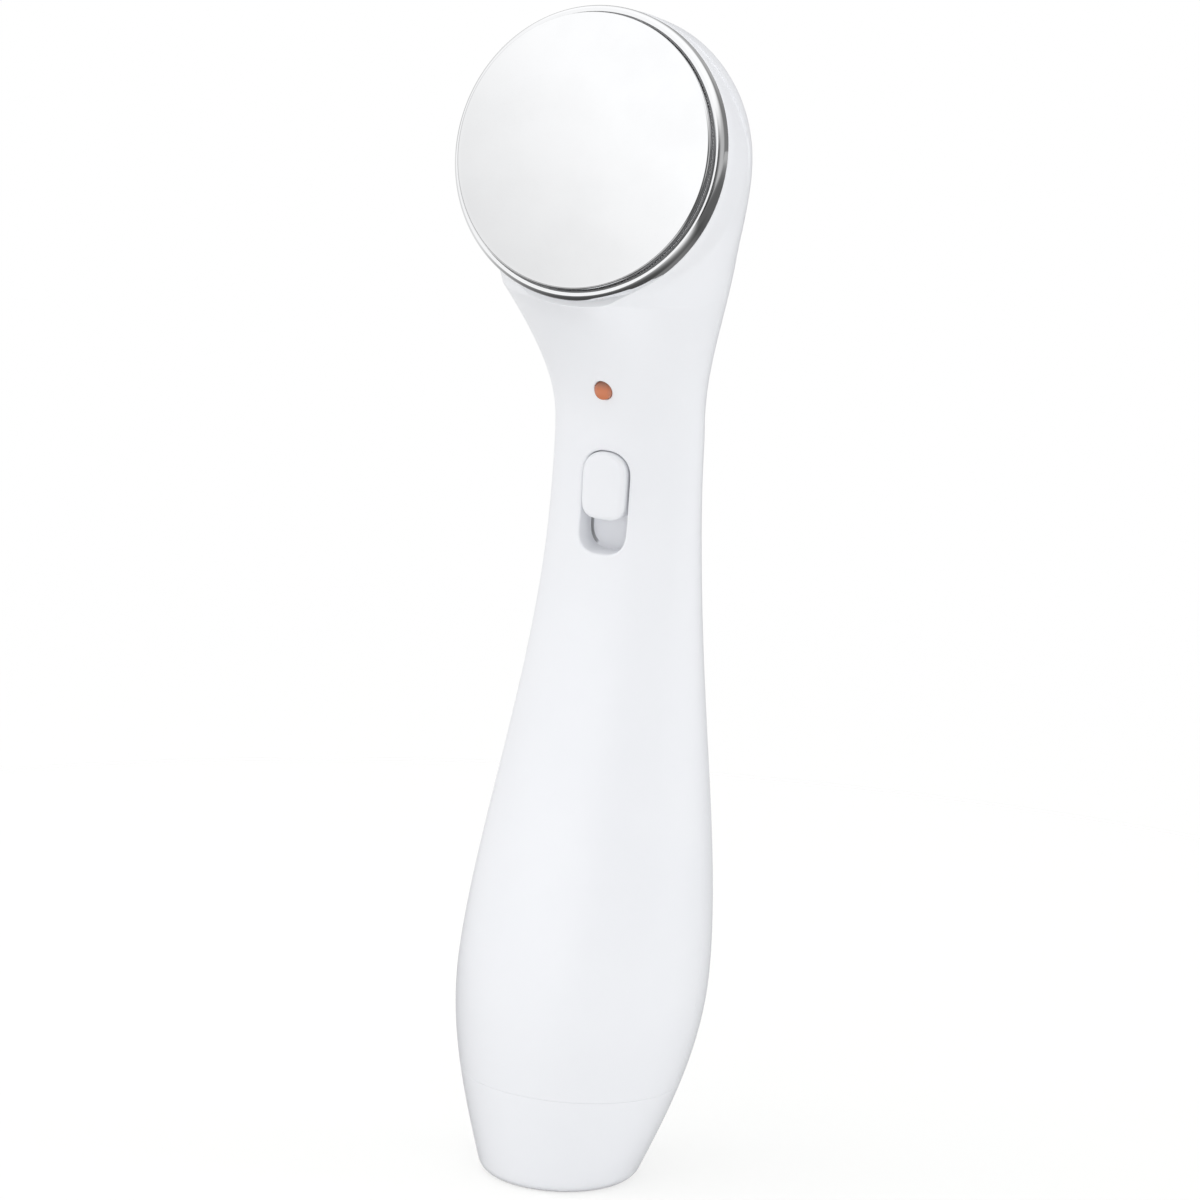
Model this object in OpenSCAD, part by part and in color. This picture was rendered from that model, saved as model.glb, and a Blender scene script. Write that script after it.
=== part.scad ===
// Facial toning wand: a white two-shell handle with a tilted round chrome head plate,
// a slide switch, an indicator and one removable cell behind a pull-off end cap.
// The wand stands on its flat base with its centre at the origin and faces -Y.

/* [Handle] */
// Diameter of the flat face that the wand stands on
base_d = 18; // [15:0.5:19]
// Rounding of the edge around the flat base
base_edge = 1.4; // [0.8:0.2:2]
// Width of the belly from side to side
belly_w = 34.6; // [33:0.1:36]
// Depth of the belly from front to back
belly_d = 31; // [30:0.5:34]
// Height of the widest part of the belly
belly_z = 27.5; // [25:0.5:30]
// Width of the neck at its narrowest
neck_w = 21.2; // [20.6:0.1:24]
// Depth of the neck at its narrowest
neck_d = 13.4; // [13:0.1:15]
// Height of the neck's narrowest place above the top of the cell
neck_rise = 37.9; // [36:0.1:40]
// Distance of the neck's axis behind the centre of the base
neck_back = 10; // [9:0.5:11]
// Wall thickness of both shells and the end cap
wall = 1.8; // [1.4:0.1:2]

/* [Head] */
// Height of the centre of the head ring's back face above the neck
head_rise = 39.8; // [39:0.2:41]
// Distance of the ring's centre in front of the neck's axis
head_reach = 15; // [14.4:0.2:15.6]
// Angle by which the head plate looks upwards
head_tilt = 14.5; // [12:0.5:17]
// Depth of the head housing behind the ring
head_depth = 17; // [16.8:0.1:19]
// Outer diameter of the chrome ring
ring_d = 38; // [37:0.5:39]
// Height of the chrome ring above the housing
ring_t = 1.6; // [1.4:0.1:2]
// Width of the chrome ring from its outer edge to its hole
ring_band = 3.8; // [3.4:0.1:4.4]
// How far the face plate's edge lies inside the ring's edge
plate_step = 0.9; // [0.8:0.1:2]
// Height of the face plate's turned-down rim
plate_rim = 1.2; // [1:0.1:1.6]
// Rise of the face plate from its rim to its middle
plate_crown = 0.9; // [0.5:0.1:1.5]
// Thickness of the sheet that the face plate is pressed from
plate_sheet = 0.5; // [0.4:0.1:0.6]
// Dark gap between the ring and the face plate
plate_gap = 0.5; // [0.3:0.1:0.8]
// Thickness of the land that the ring sits on
land_t = 2; // [1.6:0.2:2.4]

/* [Switch] */
// Width of the recessed slot
slot_w = 6.9; // [6.4:0.1:7.4]
// Length of the recessed slot
slot_len = 13.8; // [13.4:0.1:14.6]
// Distance of the slot's middle below the neck's narrowest place
slot_drop = 7.3; // [6.7:0.2:8.5]
// Depth of the slot's floor below the neck's front
slot_depth = 2.8; // [2.6:0.1:3]
// Thickness of the slot's floor
slot_floor = 1.1; // [0.9:0.1:1.2]
// Length of the switch knob
knob_len = 9.3; // [9:0.1:9.6]
// Gap around the knob inside the slot
knob_gap = 0.3; // [0.2:0.05:0.4]
// Height of the knob above the neck's front
knob_proud = 0.7; // [0.4:0.1:1]

/* [Indicator] */
// Diameter of the indicator's lens
lens_d = 2.8; // [2.4:0.1:3]
// Height of the indicator above the neck's narrowest place
lens_rise = 8; // [7.4:0.2:8.6]

/* [Cell] */
// Diameter of the cell
cell_d = 14.2; // [13.8:0.1:14.5]
// Length of the cell with its button
cell_len = 50.5; // [49.5:0.1:50.5]
// Diameter of the cell's button
button_d = 5.2; // [4.8:0.1:5.5]
// Height of the cell's button
button_h = 1.2; // [1:0.1:1.5]
// Height of the foot of the cell
cell_foot = 10.6; // [10.4:0.1:11]
// Angle by which the cell leans back along the handle
cell_lean = 7.5; // [7:0.5:8]
// Gap around the cell in its tube
cell_gap = 0.35; // [0.3:0.05:0.4]
// Wall of the tube around the cell
tube_wall = 0.9; // [0.8:0.1:1]

/* [End cap] */
// Height of the seam between the shells and the end cap
seam_z = 13.4; // [13:0.2:14]
// Length of the cap's spigot inside the shells
spigot_len = 3.6; // [3:0.2:4]
// Gap between the spigot and the shells
spigot_gap = 0.3; // [0.2:0.05:0.4]
// Wire of the cell spring
spring_wire = 0.7; // [0.6:0.1:0.8]

/* [Motor] */
// Diameter of the motor's can
motor_d = 7.6; // [7:0.1:7.8]
// Length of the motor's can
motor_len = 11; // [10:0.5:11.5]
// Wall of the motor's can
motor_wall = 0.4; // [0.3:0.1:0.5]
// Thickness of the rubber sleeve around the motor
sleeve_t = 0.6; // [0.5:0.1:0.7]
// Diameter of the motor's shaft
shaft_d = 1.2; // [1:0.1:1.4]
// Radius of the eccentric weight
weight_r = 3.4; // [3:0.1:3.6]
// Length of the eccentric weight
weight_len = 4.2; // [3.5:0.1:4.5]

/* [Circuit board] */
// Width of the board
board_w = 13; // [12.6:0.1:13.2]
// Thickness of the board
board_t = 1.2; // [1:0.1:1.4]
// Distance of the board's lower edge below the neck's narrowest place
board_drop = 26; // [25.4:0.2:26.4]
// Height of the board's upper edge above the neck's narrowest place
board_rise = 13; // [12.6:0.2:13.4]
// Depth of the slide switch's metal frame
frame_h = 2.6; // [2.4:0.1:2.7]

/* [Fasteners] */
// Diameter of the case screws
screw_d = 2; // [1.8:0.1:2.1]
// Length of the case screws below their heads
screw_len = 9; // [8:0.5:9.5]
// Diameter of the screw heads
screw_head_d = 3.6; // [3.2:0.1:3.8]
// Diameter of the screw posts
post_d = 4.8; // [4.6:0.1:5]
// Diameter of the leads between the parts
lead_d = 1; // [0.8:0.1:1.1]

/* [Hidden] */

// Colours
white = [0.96, 0.96, 0.97];
chrome = [0.82, 0.83, 0.85];
steel = [0.70, 0.71, 0.73];
brass = [0.80, 0.66, 0.36];
copper = [0.78, 0.45, 0.25];
dark = [0.16, 0.16, 0.18];
amber = [0.90, 0.45, 0.20];
board_green = [0.12, 0.42, 0.24];
lead_red = [0.75, 0.12, 0.10];
cell_green = [0.25, 0.45, 0.35];

// Round pieces are drawn with this many sides
$fn = 64;
// Gap between parts that are fitted into each other and don't move
fit = 0.05;

// Handle
base_r = base_d / 2 + base_edge;
neck_front = neck_back - neck_d / 2;
neck_rear = neck_back + neck_d / 2;
// Heights that follow the neck
neck_z = cell_foot + cell_len + neck_rise;
slot_z = neck_z - slot_drop;
lens_z = neck_z + lens_rise;
board_foot = neck_z - board_drop;
board_top = neck_z + board_rise;
head_z = neck_z + head_rise;
// Height at which the forward bend of the handle begins, and how sharply it bends
bend_z = neck_z - 13;
bend_power = 1.55;
// How quickly the belly narrows towards the neck
taper_power = 0.84;

// Head: a round pebble whose front is sliced off flat where the ring sits
head_y = neck_back - head_reach;
plate_d = ring_d - 2 * plate_step;
ring_hole_r = ring_d / 2 - ring_band;
// Diameter of the hole in the housing behind the ring
throat_d = 2 * ring_hole_r - 0.4;
ring_margin = 0.2;
pebble_waist = 5;
pebble_r = ring_d / 2 + 0.4;
pebble_nose = 3;
nose_power = 6;
dome_power = 2;
// How far the back of the dome hangs below the face's axis
dome_sag = 3;
blend = 3;
// The chin runs from the neck to the foot of the ring, and the nape up the back of the head
rim_z = head_z - (ring_d / 2 + ring_margin) * cos(head_tilt);
rim_y = head_y - (ring_d / 2 + ring_margin) * sin(head_tilt);
chin_power = 2;
flare_z = neck_z + 3;
cheek_z = neck_z + 32;
cheek_w = ring_d - 3;
nape_z = neck_z + 31;
nape_in = 4;
nape_mid = 2.5;
crown_z = head_z + (ring_d / 2 + ring_margin) * cos(head_tilt);
crown_mid = head_y + (ring_d / 2 + ring_margin) * sin(head_tilt) + 0.4;

// Carrier of the face plate: a plug in the throat with a flange over the ring
carrier_r = plate_d / 2 - plate_sheet - fit;
plate_foot = ring_t + plate_gap;
plate_top = plate_foot + plate_rim;
plug_r = throat_d / 2 - 0.15;
plug_depth = land_t + 1.2;
web_w = 0.4;
stud_r = 1.5;
notch_w = 3.4;
notch_depth = 1.3;

// Facets: rings along the handle, the chin and the head, and points around each ring
handle_rings = 18;
chin_rings = 9;
head_rings = 14;
around = 44;
hollow_around = 26;
cap_rings = 8;
// A point of the surface is found by halving the search this many times
halvings = 13;

// The cell's own frame: its foot is at the origin and its button points up the handle
cell_y = 1.5;
tube_r = cell_d / 2 + cell_gap;
tube_outer = tube_r + tube_wall;
tube_foot = 5;
contact_t = 0.4;
contact_r = 5;
contact_l = cell_len + 0.2;
tube_lid = 1.2;
shoulder_l = cell_len - 2.6;
tube_top = contact_l + contact_t + tube_lid;
rivet_r = 1.2;
rivet_top = tube_top + 1.6;
saddle_heights = [24, 52];
saddle_w = 11;
saddle_t = 1.6;
strip_w = 3;
strip_x = tube_outer + fit;
strip_foot = 2;
strip_top = cell_len - 0.5;

// End cap and its spring
cap_floor = wall + 0.6;
spigot_wall = 1.2;
collar_depth = 3.4;
spring_turns = 4;
spring_foot_r = 4.6;
spring_top_r = 3;
spring_gap = 0.3;
seat_r = 6;
seat_l = -6.8;
arm_w = 2.4;
arm_x = strip_x + contact_t + 0.3;
arm_top = 6;

// Slot and knob
slot_floor_y = neck_front + slot_depth;
slot_back_y = slot_floor_y + slot_floor;
pocket_wall = 1.3;
knob_w = slot_w - 2 * knob_gap;
end_gap = 0.1;
travel = slot_len - knob_len - 2 * end_gap;
knob_z = slot_z + (slot_len - knob_len) / 2 - end_gap;
knob_edge = 0.6;
under_gap = 0.1;
stem_w = 2;
stem_len = 1.6;
stem_depth = 0.7;
tip_w = 0.9;
slit_gap = 0.15;

// Circuit board, on posts from the rear shell
board_y = slot_back_y + stem_depth + 0.1 + frame_h;
board_back = board_y + board_t;
board_screw_x = 4.2;
board_screws_z = [board_foot + 3.4, board_top - 2.6];
board_screws_x = [0, -board_screw_x];
board_post_d = 3.4;
small_screw_d = 1.4;
small_head_d = 2.6;
small_head_h = 0.9;
small_screw_len = 3.6;
frame_w = 4.6;
frame_len = 9.6;
frame_wall = 0.3;
frame_z = knob_z - travel / 2;

// Indicator
led_d = 3;
led_len = 3.4;
led_pitch = 2.5;
lens_dome = 0.35;
lens_front = chin_y(lens_z) - 0.25;
lens_len = 3.6;
led_y = lens_front + lens_len + 0.3;

// Motor, behind the carrier with its shaft pointing up the head
motor_w = -8.8;
motor_foot = -9;
motor_top = motor_foot + motor_len;
motor_r = motor_d / 2;
sleeve_r = motor_r + sleeve_t;
shaft_gap = 0.03;
bush_r = 1.5;
bush_len = 1.4;
weight_foot = motor_top + bush_len / 2 + 0.4;
clip_reach = 8.6;
clip_t = 1.1;
clip_h = 4;
clip_screw_x = 7.1;
clip_middle = motor_foot + motor_len / 2;
armature_r = 2.2;
magnet_foot = motor_foot + 3.4;
magnet_len = 5.6;
terminal_x = 2.2;

// Screws: two beside the cell, one above it and one above the circuit board
side_post_x = tube_outer + post_d / 2 + 0.85;
post_spots = [[-side_post_x, belly_z + 10.5], [side_post_x, belly_z + 10.5],
    [0, board_foot - 4.4], [0, board_top + 4]];
screw_head_h = 1.4;
seat_depth = 2.4;
screw_gap = 0.1;

function clamp(v) = min(max(v, 0), 1);
function ease(v) = let (u = clamp(v)) u * u * (3 - 2 * u);
function power(v, p) = pow(max(v, 0), p);

// How full the handle is at a height: 0 at the base and the neck, 1 at the belly
function fullness(z) = z < belly_z ? sin(90 * max(z, 0) / belly_z)
    : 0.5 + 0.5 * cos(180 * power(clamp((z - belly_z) / (neck_z - belly_z)), taper_power));
// What the rounded edge takes off around the flat base
function edge_loss(z) = z > base_edge ? 0
    : base_edge - sqrt(base_edge * base_edge - pow(base_edge - z, 2));
// Share of the width and depth that is left above the head's centre
function dwindle(z) = z < head_z ? 1
    : sqrt(max(0.0004, 1 - pow((z - head_z) / (crown_z - head_z - 1), 2)));

function half_w(z) = z < belly_z ? base_r + (belly_w / 2 - base_r) * fullness(z) - edge_loss(z)
    : z < flare_z ? neck_w / 2 + (belly_w - neck_w) / 2 * fullness(z)
    : (neck_w + (cheek_w - neck_w) * ease((z - flare_z) / (cheek_z - flare_z))) / 2 * dwindle(z);
function half_d(z) = z < belly_z ? base_r + (belly_d / 2 - base_r) * fullness(z) - edge_loss(z)
    : neck_d / 2 + (belly_d - neck_d) / 2 * fullness(z);
// The middle line bends forward below the neck and follows the head above it
function mid_y(z) = z < bend_z ? neck_back * (1 - power(1 - z / bend_z, bend_power))
    : neck_back - (neck_back - nape_mid) * ease((z - neck_z) / (nape_z - neck_z))
        - (nape_mid - crown_mid) * ease((z - nape_z) / (crown_z - nape_z));
// Front line of the chin and rear line of the nape
function chin_y(z) = z < rim_z
    ? neck_front - (neck_front - rim_y) * power((z - neck_z) / (rim_z - neck_z), chin_power)
    : rim_y + (z - rim_z) / 2;
function nape_y(z) = neck_rear - nape_in * ease((z - neck_z) / (nape_z - neck_z));
function front_d(z) = z < neck_z ? half_d(z) : (mid_y(z) - chin_y(z)) * dwindle(z);
function rear_d(z) = z < neck_z ? half_d(z) : (nape_y(z) - mid_y(z)) * dwindle(z);

// Distance of a point outside the handle's oval at its height, drawn in by an inset
function handle_gap(x, y, z, inset) =
    let (w = max(half_w(z) - inset, 0.2),
         d = max((y < mid_y(z) ? front_d(z) : rear_d(z)) - inset, 0.2))
    (norm([x / w, (y - mid_y(z)) / d]) - 1) * min(w, d);
// Distance of a point outside the head's pebble, measured along and across its axis
function pebble_gap(x, y, z, inset) =
    let (along = (z - head_z) * sin(head_tilt) - (y - head_y) * cos(head_tilt) + pebble_waist,
         up = (y - head_y) * sin(head_tilt) + (z - head_z) * cos(head_tilt)
             + dome_sag * clamp(-along / (head_depth - pebble_waist)),
         across = norm([x, up]),
         reach = (along > 0 ? pebble_waist + pebble_nose : head_depth - pebble_waist) - inset,
         p = along > 0 ? nose_power : dome_power)
    (pow(pow(across / (pebble_r - inset), p) + pow(abs(along) / reach, p), 1 / p) - 1)
        * (pebble_r - inset);
// The two shapes run together over the blend distance
function skin_gap(x, y, z, inset) =
    let (a = handle_gap(x, y, z, inset), b = pebble_gap(x, y, z, inset),
         h = clamp(0.5 + (b - a) / (2 * blend)))
    b + (a - b) * h - blend * h * (1 - h);
function search(a, z, inset, low, high, left) =
    let (r = (low + high) / 2)
    left == 0 ? r
    : skin_gap(r * cos(a), mid_y(z) + r * sin(a), z, inset) > 0
        ? search(a, z, inset, low, r, left - 1)
        : search(a, z, inset, r, high, left - 1);
// Distance from the middle line to the surface in one direction, 0 to the right and 90 to the rear
function skin_r(a, z, inset) = z < neck_z
    ? 1 / norm([cos(a) / (half_w(z) - inset), sin(a) / (half_d(z) - inset)])
    : search(a, z, inset, 0, 30, halvings);
function skin_point(a, z, inset) =
    let (r = skin_r(a, z, inset)) [r * cos(a), mid_y(z) + r * sin(a), z];

// Rise of a shallow dome of the given rim radius and crown at a distance from its axis
function dome_rise(x, rim, crown) = let (r = (rim * rim + crown * crown) / (2 * crown))
    sqrt(r * r - x * x) - r + crown;

// Heights of the rings from a foot to the top of the head, drawn in by an inset
function ring_heights(foot, inset) = concat(
    [for (i = [0 : handle_rings - 1]) foot + (neck_z - foot) * i / handle_rings],
    [for (i = [0 : chin_rings - 1]) neck_z + (rim_z - neck_z) * i / chin_rings],
    [for (i = [0 : head_rings]) rim_z + (crown_z - 0.08 - 1.25 * inset - rim_z)
        * (1 - pow(1 - i / head_rings, 1.7))]);
function cap_heights(foot, top) =
    [for (i = [0 : cap_rings]) foot + (top - foot) * pow(i / cap_rings, 1.5)];

// Side faces between stacked rings of n points, wound to face outwards
function side_faces(rings, n) = [for (i = [0 : rings - 2], j = [0 : n - 1])
    let (a = i * n + j, b = i * n + (j + 1) % n) each [[a, a + n, b], [b, a + n, b + n]]];
module stack(rings) {
    n = len(rings[0]);
    points = [for (r = rings) each r];
    foot = [for (j = [0 : n - 1]) j];
    top = [for (j = [n - 1 : -1 : 0]) (len(rings) - 1) * n + j];
    polyhedron(points, concat([foot], side_faces(len(rings), n), [top]), convexity = 8);
}
// Rings around a path, square to it, for wires and leads
function heading(path, i) =
    let (d = path[min(i + 1, len(path) - 1)] - path[max(i - 1, 0)]) d / norm(d);
function ring_around(p, d, r, sides) =
    let (u = cross(d, abs(d[0]) > 0.9 ? [0, 1, 0] : [1, 0, 0]), v = cross(d, u / norm(u)))
    [for (j = [0 : sides - 1]) p + r * (cos(360 * j / sides) * u / norm(u)
        - sin(360 * j / sides) * v)];
module wire(path, r, sides) {
    stack([for (i = [0 : len(path) - 1]) ring_around(path[i], heading(path, i), r, sides)]);
}
// A lead runs along smooth bends through points chosen by hand
function bend(p, i, t) =
    let (a = p[max(i - 1, 0)], b = p[i], c = p[i + 1], d = p[min(i + 2, len(p) - 1)])
    0.5 * (2 * b + (c - a) * t + (2 * a - 5 * b + 4 * c - d) * t * t
        + (3 * b - a - 3 * c + d) * t * t * t);
function smooth(p, steps) = concat(
    [for (i = [0 : len(p) - 2], k = [0 : steps - 1]) bend(p, i, k / steps)], [p[len(p) - 1]]);
module lead(p) {
    wire(smooth(p, 3), lead_d / 2, 8);
}

// The outer shape, from one direction to another, closed by the parting surface
module half_skin(first, last) {
    count = around / 2;
    stack([for (z = ring_heights(seam_z, 0))
        [for (j = [0 : count]) skin_point(first + (last - first) * j / count, z, 0)]]);
}
module full_skin(heights, inset, count, shift) {
    stack([for (z = heights)
        [for (j = [0 : count - 1]) skin_point((j + shift) * 360 / count, z, inset)]]);
}
// The space inside the shells, less the posts and ribs that are given as children
module hollow() {
    difference() {
        full_skin(ring_heights(seam_z - 1, wall), wall, hollow_around, 0.5);
        children();
    }
}

module in_head() {
    translate([0, head_y, head_z]) rotate([90 - head_tilt, 0, 0]) children();
}
module in_cell() {
    translate([0, cell_y, cell_foot]) rotate([-cell_lean, 0, 0]) children();
}
// The motor's frame: +Z runs up the shaft and +Y faces the back of the head
module in_motor() {
    in_head() translate([0, 0, motor_w]) rotate([-90, 0, 0]) children();
}
// Turns a piece's +Z to point backwards along +Y from a point
module backwards(x, y, z) {
    translate([x, y, z]) rotate([-90, 0, 0]) children();
}
module pipe(outer, inner, h) {
    difference() {
        cylinder(r = outer, h = h);
        translate([0, 0, -1]) cylinder(r = inner, h = h + 2);
    }
}
// A bar with round ends, long in Z, standing backwards from y = 0
module capsule(w, length, depth) {
    for (s = [-1, 1]) backwards(0, 0, s * (length - w) / 2) cylinder(d = w, h = depth);
    translate([-w / 2, 0, -(length - w) / 2]) cube([w, depth, length - w]);
}
module block(w, d, h) {
    translate([-w / 2, 0, -h / 2]) cube([w, d, h]);
}
module pan_screw(d, length, head_d, head_h) {
    translate([0, 0, -head_h / 2]) cylinder(d = d, h = length + head_h / 2);
    translate([0, 0, -head_h]) difference() {
        cylinder(d = head_d, h = head_h);
        for (a = [0, 90]) rotate(a) translate([-head_d / 3, -d / 8, -1])
            cube([head_d / 1.5, d / 4, 1 + head_h / 2]);
    }
}

// Posts and seats of the case screws
module case_posts() {
    for (p = post_spots) backwards(p[0], -20, p[1]) cylinder(d = post_d, h = 60);
}
function seat_y(p) = mid_y(p[1]) + seat_depth;

module front_shell() color(white) {
    difference() {
        half_skin(180, 360);
        hollow() {
            case_posts();
            // The land behind the ring
            in_head() translate([0, 0, -land_t]) cylinder(d = 2 * ring_d, h = 20);
            // The pocket around the slot
            translate([0, -20, slot_z])
                capsule(slot_w + 2 * pocket_wall, slot_len + 2 * pocket_wall, 20 + slot_back_y);
        }
        in_head() cylinder(d = 2 * ring_d, h = 20);
        in_head() translate([0, 0, -land_t - 1]) cylinder(d = throat_d, h = 20);
        translate([0, -20, slot_z]) capsule(slot_w, slot_len, 20 + slot_floor_y);
        // The slit that the knob's stem runs in
        translate([0, 0, knob_z - travel / 2])
            block(stem_w + 2 * slit_gap, 20, stem_len + travel + 2 * slit_gap);
        backwards(0, -20, lens_z) cylinder(d = lens_d + 2 * fit, h = 40);
        for (p = post_spots) backwards(p[0], seat_y(p) - screw_len - 0.5, p[1])
            cylinder(d = screw_d + 2 * fit, h = 30);
    }
}

module rear_shell() color(white) {
    difference() {
        half_skin(0, 180);
        hollow() {
            case_posts();
            for (i = [0, 1]) backwards(board_screws_x[i], board_back, board_screws_z[i])
                cylinder(d = board_post_d, h = 30);
            // Saddles that carry the cell's tube
            in_cell() difference() {
                for (l = saddle_heights)
                    translate([-saddle_w / 2, 0, l]) cube([saddle_w, 40, saddle_t]);
                cylinder(r = tube_outer + fit, h = 100);
            }
            // The saddle that carries the motor in its sleeve
            in_motor() difference() {
                translate([-clip_reach, 0, clip_middle - clip_h / 2])
                    cube([2 * clip_reach, 30, clip_h]);
                cylinder(r = sleeve_r + fit, h = 60, center = true);
                for (s = [-1, 1]) translate([s * clip_screw_x, 0, clip_middle])
                    rotate([-90, 0, 0]) translate([0, 0, -1])
                    cylinder(d = small_screw_d + 2 * fit, h = small_screw_len + 0.5);
            }
        }
        for (p = post_spots) {
            backwards(p[0], mid_y(p[1]) - 10, p[1]) cylinder(d = screw_d + 2 * screw_gap, h = 30);
            backwards(p[0], seat_y(p), p[1]) cylinder(d = screw_head_d + 2 * screw_gap, h = 30);
        }
        for (i = [0, 1]) backwards(board_screws_x[i], board_back - 1, board_screws_z[i])
            cylinder(d = small_screw_d + 2 * fit, h = small_screw_len - board_t + 1.3);
    }
}

module head_ring() color(chrome) in_head() {
    bevel = 0.4;
    rotate_extrude() polygon([[ring_hole_r, 0], [ring_d / 2, 0],
        [ring_d / 2, ring_t - bevel], [ring_d / 2 - bevel, ring_t], [ring_hole_r, ring_t]]);
}

module head_carrier() color(dark) in_head() {
    difference() {
        union() {
            translate([0, 0, ring_t]) cylinder(r = carrier_r, h = plate_top - plate_sheet - ring_t);
            translate([0, 0, -plug_depth]) cylinder(r = plug_r, h = plug_depth + ring_t + 0.5);
            // Hooks that catch behind the land
            for (a = [45 : 90 : 315]) rotate(a) translate([plug_r - 1, -1.6, -plug_depth])
                cube([1.9, 3.2, plug_depth - land_t - fit]);
        }
        translate([0, 0, -plug_depth - 1]) cylinder(r = plug_r - 2.2, h = plug_depth + 1 + web_w);
        translate([0, 0, -5]) cylinder(r = stud_r + fit, h = 20);
        // A notch for the ring's lug
        translate([-notch_w / 2, -plug_r - 1, -plug_depth - 1])
            cube([notch_w, notch_depth + 1, plug_depth + 1 + ring_t]);
    }
}

module head_plate() color(chrome) in_head() {
    r = plate_d / 2;
    corner = 0.5;
    steps = 12;
    rotate_extrude() polygon(concat(
        [[0, plate_top - plate_sheet], [r - plate_sheet, plate_top - plate_sheet],
         [r - plate_sheet, plate_foot], [r, plate_foot]],
        [for (a = [0 : 30 : 90])
            [r - corner + corner * cos(a), plate_top - corner + corner * sin(a)]],
        [for (i = [steps - 1 : -1 : 0]) let (x = (r - corner) * i / steps)
            [x, plate_top + dome_rise(x, r, plate_crown)]]));
    translate([0, 0, -2.4]) cylinder(r = stud_r, h = plate_top + 2.4);
}

module plate_lug() color(steel) in_head() {
    translate([0, 0, web_w - 0.4]) difference() {
        union() {
            cylinder(r = 2.8, h = 0.4);
            translate([0, -1, 0]) cube([7, 2, 0.4]);
        }
        translate([0, 0, -1]) cylinder(r = stud_r + fit, h = 3);
    }
}

module plate_nut() color(brass) in_head() {
    translate([0, 0, web_w - 0.4 - 1.6]) difference() {
        cylinder(d = 5.5, h = 1.6, $fn = 6);
        translate([0, 0, -1]) cylinder(r = stud_r + fit, h = 4);
    }
}

module ring_lug() color(steel) in_head() {
    // A strip down the carrier's notch, bent outwards at its top to meet the ring
    translate([-1.2, -plug_r, -plug_depth - 1.6]) cube([2.4, 0.4, plug_depth + 2.5]);
    translate([-1.2, -throat_d / 2 - 0.12, 0.5]) cube([2.4, 0.6, 0.4]);
}

module indicator_lens() color(amber) {
    r = lens_d / 2;
    backwards(0, lens_front, lens_z) rotate_extrude() polygon(concat(
        [for (a = [0 : 15 : 90]) [r * sin(a), lens_dome * (1 - cos(a))]],
        [[r, lens_len - 0.6], [r + 0.5, lens_len - 0.6], [r + 0.5, lens_len], [0, lens_len]]));
}

module led() color([0.95, 0.55, 0.3]) {
    r = led_d / 2;
    backwards(0, led_y, lens_z) {
        translate([0, 0, r]) cylinder(r = r, h = led_len - r);
        translate([0, 0, led_len - 0.8]) cylinder(r = r + 0.4, h = 0.8);
        intersection() {
            translate([0, 0, r]) sphere(r = r);
            cylinder(r = 2 * r, h = r);
        }
    }
}

module led_leads() color(steel) {
    for (s = [-1, 1]) backwards(s * led_pitch / 2, led_y + led_len, lens_z)
        cylinder(r = 0.25, h = board_back + 0.8 - led_y - led_len);
}

module circuit_board() color(board_green) difference() {
    translate([-board_w / 2, board_y, board_foot]) cube([board_w, board_t, board_top - board_foot]);
    for (i = [0, 1]) backwards(board_screws_x[i], board_y - 1, board_screws_z[i])
        cylinder(d = small_screw_d + 2 * fit, h = board_t + 2);
    for (s = [-1, 1]) backwards(s * led_pitch / 2, board_y - 1, lens_z)
        cylinder(r = 0.25 + fit, h = board_t + 2);
}

module switch_frame() color(steel) translate([0, board_y - frame_h, frame_z]) difference() {
    block(frame_w, frame_h, frame_len);
    translate([0, frame_wall, 0])
        block(frame_w - 2 * frame_wall, frame_h, frame_len - 2 * frame_wall);
    translate([0, -1, 0]) block(tip_w + 2 * slit_gap, frame_h, tip_w + travel + 2 * slit_gap);
}

module switch_pins() color(brass) {
    for (s = [-1, 1], i = [-1 : 1])
        translate([s * (frame_w / 2 + 0.5 + fit), board_y - 0.4, frame_z + 2.5 * i])
            block(1, 0.4, 0.8);
}

module boost_inductor() color(copper) backwards(-3.1, board_y - 3.6, board_foot + 6.6) {
    cylinder(r = 2.5, h = 0.7);
    cylinder(r = 2.1, h = 3.6);
    translate([0, 0, 2.9]) cylinder(r = 2.5, h = 0.7);
}

module electrolytic_capacitor() color([0.2, 0.25, 0.4])
    backwards(3.4, board_y - 4.6, board_foot + 6.6) cylinder(r = 2, h = 4.6);

module driver_chip() color(dark) {
    translate([0, board_back, board_foot + 19]) block(3.9, 1.4, 4.9);
    for (s = [-1, 1], i = [-1.5 : 1.5])
        translate([s * 2.35, board_back, board_foot + 19 + 1.27 * i]) block(0.8, 0.3, 0.4);
}

module transistor() color(dark) {
    translate([0, board_back, board_foot + 10.6]) block(2.9, 1.1, 1.3);
    for (p = [[-0.95, 1.05], [0.95, 1.05], [0, -1.05]])
        translate([p[0], board_back, board_foot + 10.6 + p[1]]) block(0.4, 0.2, 0.8);
}

module resistors() color(dark) {
    for (x = [-4.2, -1.4, 1.4, 4.2]) translate([x, board_y - 0.5, board_top - 9.4])
        block(1.6, 0.5, 0.8);
}

module motor_can() color(steel) in_motor() difference() {
    translate([0, 0, motor_foot]) cylinder(r = motor_r, h = motor_len);
    translate([0, 0, motor_foot - 1]) cylinder(r = motor_r - motor_wall, h = motor_len + 0.5);
    cylinder(r = bush_r, h = 40);
}

module motor_end_cap() color(dark) in_motor() translate([0, 0, motor_foot]) difference() {
    cylinder(r = motor_r - motor_wall - fit, h = 1);
    translate([0, 0, -1]) cylinder(r = bush_r, h = 3);
}

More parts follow.
